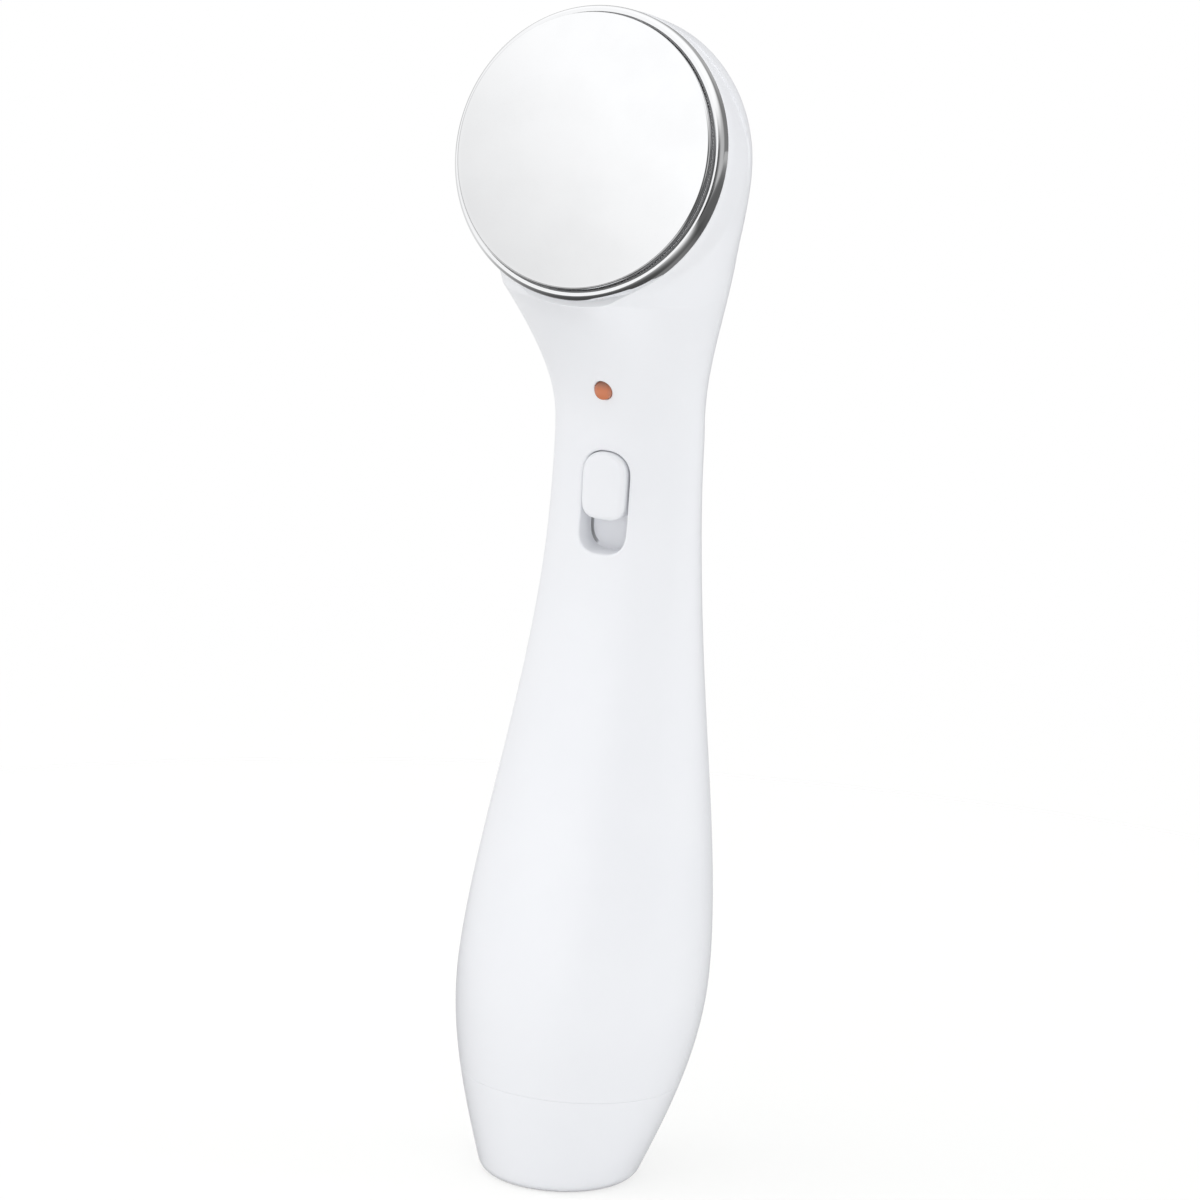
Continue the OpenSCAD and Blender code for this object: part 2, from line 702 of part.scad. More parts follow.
module motor_bush() color(brass) in_motor() {
    translate([0, 0, motor_foot]) pipe(bush_r, shaft_d / 2 + shaft_gap, 1);
    translate([0, 0, motor_top - bush_len / 2]) pipe(bush_r, shaft_d / 2 + shaft_gap, bush_len);
}

module motor_magnets() color(dark) in_motor() translate([0, 0, magnet_foot]) difference() {
    pipe(motor_r - motor_wall - fit, armature_r + 0.3, magnet_len);
    for (a = [0, 90]) rotate(a) translate([-motor_r, -0.7, -1])
        cube([2 * motor_r, 1.4, magnet_len + 2]);
}

module motor_terminals() color(brass) in_motor() {
    for (s = [-1, 1]) translate([s * terminal_x - 0.15, -0.6, motor_foot - 2]) cube([0.3, 1.2, 2]);
}

module motor_shaft() color(steel) in_motor()
    translate([0, 0, motor_foot + 0.2])
        cylinder(d = shaft_d, h = weight_foot + weight_len - motor_foot);

module armature() color(copper) in_motor() translate([0, 0, magnet_foot]) difference() {
    cylinder(r = armature_r, h = magnet_len);
    translate([0, 0, -1]) cylinder(d = shaft_d, h = magnet_len + 2);
    for (a = [0 : 120 : 240]) rotate(a) translate([1.1, -0.3, -1]) cube([5, 0.6, magnet_len + 2]);
}

module commutator() color(copper) in_motor()
    translate([0, 0, motor_foot + 1.3]) pipe(1.1, shaft_d / 2, 1.4);

module eccentric_weight() color(brass) in_motor() translate([0, 0, weight_foot]) difference() {
    union() {
        difference() {
            cylinder(r = weight_r, h = weight_len);
            translate([-5, -10, -1]) cube([10, 10, weight_len + 2]);
        }
        cylinder(r = 1.3, h = weight_len);
    }
    translate([0, 0, -1]) cylinder(d = shaft_d, h = weight_len + 2);
}

module motor_sleeve() color(dark) in_motor()
    translate([0, 0, motor_foot + 1]) pipe(sleeve_r, motor_r + fit / 2, motor_len - 2);

module motor_clip() color(white) in_motor() translate([0, 0, clip_middle]) difference() {
    union() {
        translate([0, 0, -clip_h / 2]) cylinder(r = sleeve_r + clip_t, h = clip_h);
        translate([-clip_reach, -clip_t, -clip_h / 2]) cube([2 * clip_reach, clip_t, clip_h]);
    }
    translate([-20, 0, -10]) cube([40, 20, 20]);
    translate([0, 0, -10]) cylinder(r = sleeve_r + fit, h = 20);
    for (s = [-1, 1]) translate([s * clip_screw_x, -5, 0]) rotate([-90, 0, 0])
        cylinder(d = small_screw_d + 2 * fit, h = 10);
}

module clip_screws() color(steel) in_motor() {
    for (s = [-1, 1]) translate([s * clip_screw_x, -clip_t, clip_middle]) rotate([-90, 0, 0])
        pan_screw(small_screw_d, small_screw_len, small_head_d, small_head_h);
}

module case_screws() color(steel) {
    for (p = post_spots) translate([p[0], seat_y(p), p[1]]) rotate([90, 0, 0])
        pan_screw(screw_d, screw_len, screw_head_d, screw_head_h);
}

module board_screws() color(steel) {
    for (i = [0, 1]) backwards(board_screws_x[i], board_y, board_screws_z[i])
        pan_screw(small_screw_d, small_screw_len, small_head_d, small_head_h);
}

module battery_tube() color(white) in_cell() difference() {
    union() {
        translate([0, 0, tube_foot]) cylinder(r = tube_outer, h = shoulder_l - tube_foot);
        translate([0, 0, shoulder_l])
            cylinder(r1 = tube_outer, r2 = contact_r + 1, h = tube_top - shoulder_l);
    }
    translate([0, 0, -1]) cylinder(r = tube_r, h = cell_len - button_h + 1 + 2 * fit);
    cylinder(r = contact_r + fit, h = contact_l + contact_t);
    cylinder(r = rivet_r + fit, h = 100);
}

module positive_contact() color(steel) in_cell() {
    translate([0, 0, contact_l]) cylinder(r = contact_r, h = contact_t);
    translate([0, 0, contact_l]) cylinder(r = rivet_r, h = rivet_top - contact_l);
}

module negative_strip() color(steel) in_cell()
    translate([strip_x, -strip_w / 2, strip_foot]) cube([contact_t, strip_w, strip_top - strip_foot]);

module cell_can() color(cell_green) in_cell() cylinder(d = cell_d, h = cell_len - button_h);
module cell_button() color(steel) in_cell()
    translate([0, 0, cell_len - button_h]) cylinder(d = button_d, h = button_h);

module cap_contact() color(steel) in_cell() translate([0, 0, seat_l]) {
    cylinder(r = seat_r - 0.4, h = contact_t);
    translate([0, -arm_w / 2, 0]) cube([arm_x + contact_t, arm_w, contact_t]);
    translate([arm_x, -arm_w / 2, 0]) cube([contact_t, arm_w, arm_top - seat_l]);
}

// The coil winds evenly from its wide foot to its narrow top
module cap_spring() color(steel) in_cell() {
    foot = seat_l + contact_t + spring_wire / 2 + 0.02;
    top = -spring_gap - spring_wire / 2;
    steps = 14 * spring_turns;
    wire([for (i = [0 : steps])
        let (t = i / steps, a = 360 * spring_turns * t,
             r = spring_foot_r + (spring_top_r - spring_foot_r) * t)
        [r * cos(a), r * sin(a), foot + (top - foot) * t]], spring_wire / 2, 6);
}

module oval(inset, foot, h) {
    w = half_w(seam_z) - inset;
    d = half_d(seam_z) - inset;
    translate([0, mid_y(seam_z), foot]) linear_extrude(h)
        polygon([for (a = [0 : 7.5 : 352.5]) [w * cos(a), d * sin(a)]]);
}

module battery_cap() color(white) {
    inner = wall + spigot_gap + spigot_wall;
    difference() {
        full_skin(cap_heights(0, seam_z), 0, around, 0);
        difference() {
            full_skin(cap_heights(cap_floor, seam_z + 1), wall, hollow_around, 0.5);
            // The seat of the spring
            in_cell() translate([0, 0, -30]) cylinder(r = seat_r, h = 30 + seat_l);
            // The collar that the spigot grows from
            difference() {
                translate([0, 0, seam_z - collar_depth]) cylinder(r = 30, h = collar_depth + 2);
                oval(inner + 0.1, seam_z - collar_depth - 1, collar_depth + 4);
            }
        }
    }
    difference() {
        oval(wall + spigot_gap, seam_z - 0.5, spigot_len + 0.5);
        oval(inner, seam_z - 1, spigot_len + 2);
    }
}

module switch_knob() color(white) translate([0, 0, knob_z]) {
    front = neck_front - knob_proud;
    difference() {
        union() {
            hull() {
                translate([0, front + knob_edge, 0])
                    capsule(knob_w, knob_len, slot_floor_y - under_gap - front - knob_edge);
                translate([0, front, 0])
                    capsule(knob_w - 2 * knob_edge, knob_len - 2 * knob_edge, 1);
            }
            translate([0, front + 1, 0]) block(stem_w, slot_back_y + stem_depth - front - 1, stem_len);
        }
        translate([0, slot_back_y - 0.3, 0]) block(tip_w + 2 * fit, 5, tip_w + 2 * fit);
    }
}

module switch_actuator() color(dark) translate([0, 0, knob_z]) {
    translate([0, slot_back_y - 0.3 + fit, 0]) block(tip_w, board_y - 1.4 - slot_back_y, tip_w);
    translate([0, board_y - frame_h + frame_wall + 0.3, 0]) block(frame_w - 2 * frame_wall - 0.6, 1, 3);
}

// Points of a lead are given from what it leaves or passes, and its end is its pad on the board
function from_height(h, points) = [for (p = points) p + [0, 0, h]];
function beside_strip(l) = [strip_x + contact_t + lead_d / 2, cell_y + l * sin(cell_lean),
    cell_foot + l * cos(cell_lean)];
function pad(x, z) = [[x, board_y - 1.6, z], [x, board_y - 0.15, z]];
module motor_lead(side) {
    lead(concat(from_height(head_z, [[side * (terminal_x + 0.7), -0.2, -12.2],
        [side * 2.6, 1.6, -15.2]]), from_height(board_top, [[side * 3.4, 4.5, 7.5],
        [side * 3.4, 7.4, 3.5], [side * 2.6, 8.6, 0.6]]), pad(side * 2, board_top - 1.4)));
}
module motor_lead_red() color(lead_red) motor_lead(1);
module motor_lead_black() color(dark) motor_lead(-1);
module plate_lead() color(white) lead(concat(from_height(head_z, [[6.6, -4.2, -2.8],
    [7.2, -3, -7.8], [7, -1, -12.8]]), from_height(board_top, [[6, 3, 8], [5.4, 7, 3.5],
    [5, 8.6, 0.6]]), pad(4.8, board_top - 1.6)));
module ring_lead() color(cell_green) lead(concat(from_height(head_z, [[0, -3, -15.9],
    [-2, -1.8, -17.4]]), from_height(board_top, [[-4.2, 0.4, 6.6], [-5.4, 4.2, 2.6],
    [-5.7, 7.4, -1.6]]), pad(-5.7, board_top - 5.4)));
module battery_lead_red() color(lead_red) lead(concat(from_height(board_foot,
    [[0, cell_y + 7.5, -7.8], [2.6, 8.6, -6.8], [4.1, 8.6, -4.4], [4, 8.4, -1]]),
    pad(3.2, board_foot + 2)));
module battery_lead_black() color(dark) lead(concat([beside_strip(strip_top - 2.6),
    beside_strip(strip_top + 0.6)], from_height(board_foot, [[8.4, 8, -8], [6.8, 8.2, -4.2]]),
    pad(5.4, board_foot + 1.2)));

front_shell();
rear_shell();
head_ring();
head_carrier();
head_plate();
plate_nut();
plate_lug();
ring_lug();
indicator_lens();
led();
led_leads();
circuit_board();
switch_frame();
switch_pins();
boost_inductor();
electrolytic_capacitor();
driver_chip();
transistor();
resistors();
motor_sleeve();
motor_clip();
motor_can();
motor_end_cap();
motor_bush();
motor_magnets();
motor_terminals();
battery_tube();
positive_contact();
negative_strip();
case_screws();
board_screws();
clip_screws();
motor_lead_red();
motor_lead_black();
plate_lead();
ring_lead();
battery_lead_red();
battery_lead_black();
motor_shaft();
armature();
commutator();
eccentric_weight();
switch_knob();
switch_actuator();
battery_cap();
cap_spring();
cap_contact();
cell_can();
cell_button();
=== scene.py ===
import math
import bmesh
import bpy
import numpy as np
from mathutils import Matrix, Vector


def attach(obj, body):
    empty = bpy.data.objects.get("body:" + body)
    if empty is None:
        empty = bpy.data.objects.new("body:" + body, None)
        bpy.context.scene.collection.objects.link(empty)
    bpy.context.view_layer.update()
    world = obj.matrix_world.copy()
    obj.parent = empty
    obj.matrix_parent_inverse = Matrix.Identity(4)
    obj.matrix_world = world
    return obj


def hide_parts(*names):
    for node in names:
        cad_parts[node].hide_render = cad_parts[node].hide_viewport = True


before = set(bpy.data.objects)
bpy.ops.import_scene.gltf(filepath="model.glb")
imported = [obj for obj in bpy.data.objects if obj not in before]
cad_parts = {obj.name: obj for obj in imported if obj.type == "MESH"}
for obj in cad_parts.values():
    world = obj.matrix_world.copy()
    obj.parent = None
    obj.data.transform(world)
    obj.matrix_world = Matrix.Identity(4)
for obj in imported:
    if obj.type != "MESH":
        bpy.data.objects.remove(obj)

scene = bpy.context.scene
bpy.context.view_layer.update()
mm = 0.001   # the shapes are worked out in millimetres and stored in metres

# camera
# Azimuth is measured from the front towards the right, focal is in frame widths, and aim says
# how far the frame's middle lies from the target, in frame widths to the right and up.
cameraPlace = {"target": (0.0, 10.0, 77.5), "distance": 700.0, "azimuth": 26.4,
               "elevation": 12.5, "lean": 3.04, "focal": 4.3583, "aim": (-0.01742, -0.00125)}


def placeCamera(place):
    a, e, r = (math.radians(place[k]) for k in ("azimuth", "elevation", "lean"))
    back = Vector((math.sin(a) * math.cos(e), -math.cos(a) * math.cos(e), math.sin(e)))
    right = Vector((math.cos(a), math.sin(a), 0))
    up = back.cross(right)
    across = right * math.cos(r) + up * math.sin(r)
    above = up * math.cos(r) - right * math.sin(r)
    centre = (Vector(place["target"]) + back * place["distance"]) * mm
    look = (-back * place["focal"] + across * place["aim"][0]
            + above * place["aim"][1]).normalized()
    across = look.cross(above).normalized()
    above = across.cross(look)
    data = bpy.data.cameras.new("photoCamera")
    data.sensor_width, data.lens = 36, 36 * place["focal"]
    data.clip_start, data.clip_end = 0.05, 20
    camera = bpy.data.objects.new("photoCamera", data)
    scene.collection.objects.link(camera)
    camera.matrix_world = Matrix((
        (across.x, above.x, -look.x, centre.x), (across.y, above.y, -look.y, centre.y),
        (across.z, above.z, -look.z, centre.z), (0, 0, 0, 1)))
    scene.camera = camera


placeCamera(cameraPlace)
print("camera placed")

# the wand's outer shape
handle = {"baseRadius": 10.4, "baseEdge": 1.4, "bellyWidth": 34.6, "bellyDepth": 31.0,
          "bellyHeight": 27.5, "neckWidth": 21.2, "neckDepth": 13.4, "neckHeight": 99.0,
          "neckBack": 10.0, "bendHeight": 86.0, "bendPower": 1.55, "taperPower": 0.84,
          "wall": 1.8, "seam": 13.4, "flareHeight": 102.0, "cheekHeight": 131.0,
          "cheekWidth": 35.0}
head = {"height": 138.8, "forward": -5.0, "tilt": 14.5, "depth": 17.0, "ringRadius": 19.0,
        "margin": 0.2, "waist": 5.0, "radius": 19.4, "nose": 3.0, "nosePower": 6.0,
        "domePower": 2.0, "domeSag": 3.0, "blend": 3.0, "napeHeight": 130.0, "napeIn": 4.0,
        "napeMiddle": 2.5, "crownBack": 0.4}
tiltSin = math.sin(math.radians(head["tilt"]))
tiltCos = math.cos(math.radians(head["tilt"]))
rimRadius = head["ringRadius"] + head["margin"]
rimHeight = head["height"] - rimRadius * tiltCos
rimForward = head["forward"] - rimRadius * tiltSin
crownHeight = head["height"] + rimRadius * tiltCos
crownMiddle = head["forward"] + rimRadius * tiltSin + head["crownBack"]
neckFront = handle["neckBack"] - handle["neckDepth"] / 2
neckRear = handle["neckBack"] + handle["neckDepth"] / 2


def ease(v):
    # Smooth step: three times the square less twice the cube of v kept between 0 and 1
    t = np.clip(v, 0, 1)
    return t * t * (3 - 2 * t)


def fullness(z):
    # A quarter sine from the base to the belly, then half a cosine wave down to the neck
    low = np.sin(math.pi / 2 * np.clip(z / handle["bellyHeight"], 0, 1))
    t = np.clip((z - handle["bellyHeight"]) / (handle["neckHeight"] - handle["bellyHeight"]), 0, 1)
    return np.where(z < handle["bellyHeight"], low,
                    0.5 + 0.5 * np.cos(math.pi * t ** handle["taperPower"]))


def edgeLoss(z):
    # The edge's radius less the height of its quarter circle
    e = handle["baseEdge"]
    return np.where(z > e, 0, e - np.sqrt(np.clip(e * e - (e - np.clip(z, 0, e)) ** 2, 0, None)))


def dwindle(z):
    # One up to the head's middle, then an ellipse's fall to the crown
    t = (z - head["height"]) / (crownHeight - head["height"] - 1)
    return np.where(z < head["height"], 1, np.sqrt(np.clip(1 - t * t, 0.0004, None)))


def halfWidth(z):
    # Base to belly, belly to neck by fullness, and neck to cheeks by a smooth step
    b, w, n = handle["baseRadius"], handle["bellyWidth"] / 2, handle["neckWidth"] / 2
    flare = ease((z - handle["flareHeight"]) / (handle["cheekHeight"] - handle["flareHeight"]))
    low = b + (w - b) * fullness(z) - edgeLoss(z)
    high = (n + (handle["cheekWidth"] / 2 - n) * flare) * dwindle(z)
    return np.where(z < handle["bellyHeight"], low,
                    np.where(z < handle["flareHeight"], n + (w - n) * fullness(z), high))


def halfDepth(z):
    b, d, n = handle["baseRadius"], handle["bellyDepth"] / 2, handle["neckDepth"] / 2
    low = b + (d - b) * fullness(z) - edgeLoss(z)
    return np.where(z < handle["bellyHeight"], low, n + (d - n) * fullness(z))


def middle(z):
    # The middle line bends forwards below the neck by a power curve, and above it by smooth steps
    low = handle["neckBack"] * (1 - np.clip(1 - z / handle["bendHeight"], 0, 1) ** handle["bendPower"])
    nape = ease((z - handle["neckHeight"]) / (head["napeHeight"] - handle["neckHeight"]))
    crown = ease((z - head["napeHeight"]) / (crownHeight - head["napeHeight"]))
    high = (handle["neckBack"] - (handle["neckBack"] - head["napeMiddle"]) * nape
            - (head["napeMiddle"] - crownMiddle) * crown)
    return np.where(z < handle["bendHeight"], low, high)


def chin(z):
    # A parabola from the neck's front to the foot of the ring, then a straight line
    t = np.clip((z - handle["neckHeight"]) / (rimHeight - handle["neckHeight"]), 0, None)
    return np.where(z < rimHeight, neckFront - (neckFront - rimForward) * t ** 2,
                    rimForward + (z - rimHeight) / 2)


def handleGap(x, y, z, inset):
    # How far a point lies outside the oval at its height, the oval drawn in by the inset
    nape = neckRear - head["napeIn"] * ease((z - handle["neckHeight"])
                                            / (head["napeHeight"] - handle["neckHeight"]))
    front = np.where(z < handle["neckHeight"], halfDepth(z), (middle(z) - chin(z)) * dwindle(z))
    rear = np.where(z < handle["neckHeight"], halfDepth(z), (nape - middle(z)) * dwindle(z))
    w = np.maximum(halfWidth(z) - inset, 0.2)
    y = y - middle(z)
    d = np.maximum(np.where(y < 0, front, rear) - inset, 0.2)
    beyond = np.hypot(x, y) * (1 - 1 / np.maximum(np.hypot(x / w, y / d), 0.01))
    return beyond + 2 * np.clip(z - crownHeight + 1, 0, None)


def pebbleGap(x, y, z, inset):
    # A super-ellipse of the distances across and along the head's axis, its back hanging a little
    dy, dz = y - head["forward"], z - head["height"]
    along = dz * tiltSin - dy * tiltCos + head["waist"]
    up = dy * tiltSin + dz * tiltCos + head["domeSag"] * np.clip(
        -along / (head["depth"] - head["waist"]), 0, 1)
    p = np.where(along > 0, head["nosePower"], head["domePower"])
    reach = np.where(along > 0, head["waist"] + head["nose"], head["depth"] - head["waist"]) - inset
    across = np.hypot(x, up) / (head["radius"] - inset)
    return ((across ** p + (np.abs(along) / reach) ** p) ** (1 / p) - 1) * (head["radius"] - inset)


def skinGap(x, y, z, inset):
    # The smaller of the two distances, rounded over where they are within the blend of each other
    a, b, k = handleGap(x, y, z, inset), pebbleGap(x, y, z, inset), head["blend"]
    h = np.clip(0.5 + (b - a) / (2 * k), 0, 1)
    joined = b + (a - b) * h - k * h * (1 - h)
    return np.where(z < handle["neckHeight"], a, joined)


def search(inside, outside, gap):
    # Halves the stretch between an inner and an outer distance until the gap's sign changes there
    low, high = np.array(inside, float), np.array(outside, float)
    for _ in range(30):
        half = (low + high) / 2
        out = gap(half) > 0
        high, low = np.where(out, half, high), np.where(out, low, half)
    return (low + high) / 2


def skinPoint(a, z, inset=0.0):
    # The surface met by a level ray from the middle line at angle a, 0 to the right, 90 to the rear
    a, z, inset = np.broadcast_arrays(np.asarray(a, float), np.asarray(z, float), inset)
    c, s, y = np.cos(a), np.sin(a), middle(z)
    r = search(np.zeros(a.shape), np.full(a.shape, 30.0), lambda r: skinGap(r * c, y + r * s, z, inset))
    return np.stack([r * c, y + r * s, z], -1)


def skinAt(x, z, side, inset=0.0):
    # The surface straight in front of (side -1) or behind (side 1) a point of the parting surface
    y = middle(z)
    d = search(np.zeros(x.shape), np.full(x.shape, 30.0),
               lambda d: skinGap(x, y + side * d, z, inset))
    return np.stack([x, y + side * d, z], -1)


def headPoint(x, up, out):
    # A point given across, up and out along the ring's axis
    x, up, out = np.broadcast_arrays(np.asarray(x, float), up, out)
    return np.stack([x, head["forward"] - out * tiltCos + up * tiltSin,
                     head["height"] + out * tiltSin + up * tiltCos], -1)


def cutRadius(turn, out, inset=0.0):
    # Where the surface crosses a plane square to the ring's axis, at a turn from its foot
    def gap(r):
        p = headPoint(r * np.sin(turn), -r * np.cos(turn), out)
        return skinGap(p[..., 0], p[..., 1], p[..., 2], inset)
    return search(np.full(turn.shape, 5.0), np.full(turn.shape, 30.0), gap)


# meshes
class Patchwork:
    # Collects grids of points as quads; edges that share points are welded when it is finished
    def __init__(self):
        self.points, self.quads, self.count = [], [], 0

    def grid(self, points, hole=None, around=False):
        rows, columns = points.shape[:2]
        index = self.count + np.arange(rows * columns).reshape(rows, columns)
        if around:
            index = np.concatenate([index, index[:, :1]], 1)
        quads = np.stack([index[:-1, :-1], index[:-1, 1:], index[1:, 1:], index[1:, :-1]], -1)
        keep = np.ones(quads.shape[:2], bool)
        for r0, r1, c0, c1 in hole or []:
            keep[r0:r1, c0:c1] = False
        self.points.append(points.reshape(-1, 3))
        self.quads.append(quads[keep])
        self.count += rows * columns

    def mirror(self):
        points, quads = np.concatenate(self.points), np.concatenate(self.quads)
        self.points = [points, points * (-1, 1, 1)]
        self.quads = [quads, quads[:, ::-1] + len(points)]
        self.count = 2 * len(points)

    def finish(self, name, body, material, stands=(), sharp=38, weld=0.004):
        points, quads = np.concatenate(self.points) * mm, np.concatenate(self.quads)
        mesh = bpy.data.meshes.new(name)
        mesh.vertices.add(len(points))
        mesh.vertices.foreach_set("co", points.astype(np.float32).ravel())
        mesh.loops.add(quads.size)
        mesh.loops.foreach_set("vertex_index", quads.astype(np.int32).ravel())
        mesh.polygons.add(len(quads))
        mesh.polygons.foreach_set("loop_start", np.arange(0, quads.size, 4, dtype=np.int32))
        mesh.polygons.foreach_set("loop_total", np.full(len(quads), 4, np.int32))
        mesh.update(calc_edges=True)
        work = bmesh.new()
        work.from_mesh(mesh)
        bmesh.ops.remove_doubles(work, verts=work.verts, dist=weld * mm)
        bmesh.ops.dissolve_degenerate(work, edges=work.edges, dist=weld * mm / 4)
        bmesh.ops.recalc_face_normals(work, faces=work.faces)
        openEdges = sum(1 for e in work.edges if not e.is_manifold)
        work.to_mesh(mesh)
        work.free()
        mesh.polygons.foreach_set("use_smooth", np.ones(len(mesh.polygons), bool))
        mesh.set_sharp_from_angle(angle=math.radians(sharp))
        mesh.materials.append(material)
        piece = bpy.data.objects.new(name, mesh)
        scene.collection.objects.link(piece)
        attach(piece, body)
        if stands:
            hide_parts(*stands)
        print(name, len(mesh.polygons), "faces,", openEdges, "open edges")
        return piece


def lathe(profile, sides, place):
    # A profile of radius and height turned about an axis; place puts the points where they belong
    p = np.asarray(profile, float)
    a = np.linspace(0, 2 * math.pi, sides, endpoint=False)
    return place(p[:, :1] * np.cos(a), p[:, :1] * np.sin(a), np.repeat(p[:, 1:], sides, 1))


def arc(centre, radius, first, last, steps):
    # Points of a circle between two angles in degrees
    a = np.radians(np.linspace(first, last, steps))
    return [[centre[0] + radius * math.cos(v), centre[1] + radius * math.sin(v)] for v in a]


def rounded(distance, radius):
    # Depth of a quarter round below an edge's faces, at a distance from the edge
    t = 1 - np.clip(distance / radius, 0, 1)
    return radius * (1 - np.sqrt(1 - t * t))


def squarer(away, upper, lower):
    # Stretches unit directions to a super-ellipse, whose power may differ above and below
    p = np.where(away[:, 1] > 0, upper, lower)
    return away / ((np.abs(away) ** p[:, None]).sum(1) ** (1 / p))[:, None]


def outlineOf(points, centre, width, length, ends):
    # The nearest spine point of an upright bar with rounded ends, and the step away from it
    spine = np.clip(points[:, 2] - centre[1], -(length - width) / 2, (length - width) / 2)
    base = np.stack([np.full(len(points), centre[0]), centre[1] + spine], -1)
    away = np.stack([points[:, 0], points[:, 2]], -1) - base
    return base, squarer(away / np.linalg.norm(away, axis=1, keepdims=True), *ends)


def sinkPocket(work, border, pocket, side, inset=0.0):
    # Rings run from a border in the skin to the pocket's lip, round it, down its wall, round the
    # corner to the floor, and across the floor to its spine. Depths count from the skin, which is
    # the inner one where an inset is given.
    centre, radius = pocket["centre"], pocket["width"] / 2
    base, away = outlineOf(border, centre, pocket["width"], pocket["length"],
                           pocket.get("ends", (2, 2)))
    lip, corner = pocket["lip"], pocket["corner"]
    start = np.stack([border[:, 0], border[:, 2]], -1)
    rings = [border]
    edge = base + away * (radius + lip)
    for t in np.linspace(0, 1, 8)[1:]:
        p = start + (edge - start) * (1 - (1 - t) ** 1.5)
        rings.append(skinAt(p[:, 0], p[:, 1], side, inset))
    for v in np.radians(np.linspace(0, 90, 7)[1:]):
        p = base + away * (radius + lip * (1 - math.sin(v)))
        q = skinAt(p[:, 0], p[:, 1], side, inset)
        q[:, 1] -= side * lip * (1 - math.cos(v))
        rings.append(q)
    p = base + away * radius
    top = rings[-1][:, 1]
    floor = pocket["floor"]
    for t in np.linspace(0, 1, 5)[1:]:
        rings.append(np.stack([p[:, 0], top + (floor + side * corner - top) * t, p[:, 1]], -1))
    for v in np.radians(np.linspace(0, 90, 5)[1:]):
        p = base + away * (radius - corner * (1 - math.cos(v)))
        y = np.full(len(p), floor + side * corner * (1 - math.sin(v)))
        rings.append(np.stack([p[:, 0], y, p[:, 1]], -1))
    if "groove" in pocket:
        wide, deep, low, high = pocket["groove"]
        deep = deep * ease((p[:, 1] - low) / (high - low))
        for inwards, share in ((0.02, 1), (wide, 1), (wide + 0.03, 0.05), (wide + 0.08, 0)):
            p = base + away * (radius - corner - inwards)
            rings.append(np.stack([p[:, 0], floor - side * deep * share, p[:, 1]], -1))
        corner += wide + 0.08
    for t in np.linspace(0, 1, 7)[1:]:
        p = base + away * (radius - corner) * (1 - t)
        rings.append(np.stack([p[:, 0], np.full(len(p), floor), p[:, 1]], -1))
    work.grid(np.stack(rings), around=pocket["whole"])


# materials
class Value:
    # A socket or a number that can be written in plain sums; each sum adds a Math node
    def __init__(self, kit, socket):
        self.kit, self.socket = kit, socket

    def sum(self, kind, a, b=0.0, c=0.0):
        return self.kit.node("ShaderNodeMath", {"operation": kind}, {0: a, 1: b, 2: c})

    def __add__(self, other): return self.sum("ADD", self, other)
    def __radd__(self, other): return self.sum("ADD", other, self)
    def __sub__(self, other): return self.sum("SUBTRACT", self, other)
    def __rsub__(self, other): return self.sum("SUBTRACT", other, self)
    def __mul__(self, other): return self.sum("MULTIPLY", self, other)
    def __rmul__(self, other): return self.sum("MULTIPLY", other, self)
    def __pow__(self, other): return self.sum("POWER", self, other)
    def __abs__(self): return self.sum("ABSOLUTE", self)

    def between(self, low, high):
        # A smooth step from 0 to 1 as the value goes from low to high
        return self.kit.node("ShaderNodeMapRange", {"interpolation_type": "SMOOTHSTEP"},
                             {"Value": self, "From Min": low, "From Max": high})


class Kit:
    # One material: its nodes are added by type, with settings first and then inputs
    def __init__(self, name, world=False):
        if world:
            self.owner = bpy.data.worlds.new(name)
        else:
            self.owner = bpy.data.materials.new(name)
        self.owner.use_nodes = True
        self.tree = self.owner.node_tree
        self.tree.nodes.clear()
        self.last = None

    def node(self, kind, settings=None, inputs=None, output=0):
        made = self.tree.nodes.new(kind)
        for key, value in (settings or {}).items():
            if key == "stops":
                while len(made.color_ramp.elements) > len(value):
                    made.color_ramp.elements.remove(made.color_ramp.elements[-1])
                while len(made.color_ramp.elements) < len(value):
                    made.color_ramp.elements.new(1)
                for element, (place, colour) in zip(made.color_ramp.elements, value):
                    element.position, element.color = place, (*colour, 1)
            else:
                setattr(made, key, value)
        for key, value in (inputs or {}).items():
            if isinstance(value, Value):
                self.tree.links.new(value.socket, made.inputs[key])
            else:
                if hasattr(value, "__len__") and len(value) == 3 and \
                        made.inputs[key].type == "RGBA":
                    value = (*value, 1)
                made.inputs[key].default_value = value
        self.last = made
        return Value(self, made.outputs[output]) if len(made.outputs) else None

    def place(self, scale=(1, 1, 1), turn=(0, 0, 0)):
        # Object coordinates in metres, centred, turned and scaled
        here = self.node("ShaderNodeTexCoord", output="Object")
        return self.node("ShaderNodeMapping", None, {"Vector": here, "Scale": scale, "Rotation": turn})

    def noise(self, where, scale, detail=3.0, rough=0.5):
        return self.node("ShaderNodeTexNoise", None,
                         {"Vector": where, "Scale": scale, "Detail": detail, "Roughness": rough})

    def mix(self, factor, a, b):
        return self.node("ShaderNodeMix", {"data_type": "RGBA"}, {0: factor, 6: a, 7: b}, output=2)

    def bump(self, height, strength, distance):
        return self.node("ShaderNodeBump", None,
                         {"Strength": strength, "Distance": distance, "Height": height})

    def axis(self, where, letter):
        return self.node("ShaderNodeSeparateXYZ", None, {0: where}, output=letter)

    def surface(self, **inputs):
        names = {key.replace("_", " "): value for key, value in inputs.items()}
        shader = self.node("ShaderNodeBsdfPrincipled", None, names)
        self.node("ShaderNodeOutputMaterial", None, {"Surface": shader})
        return self.owner


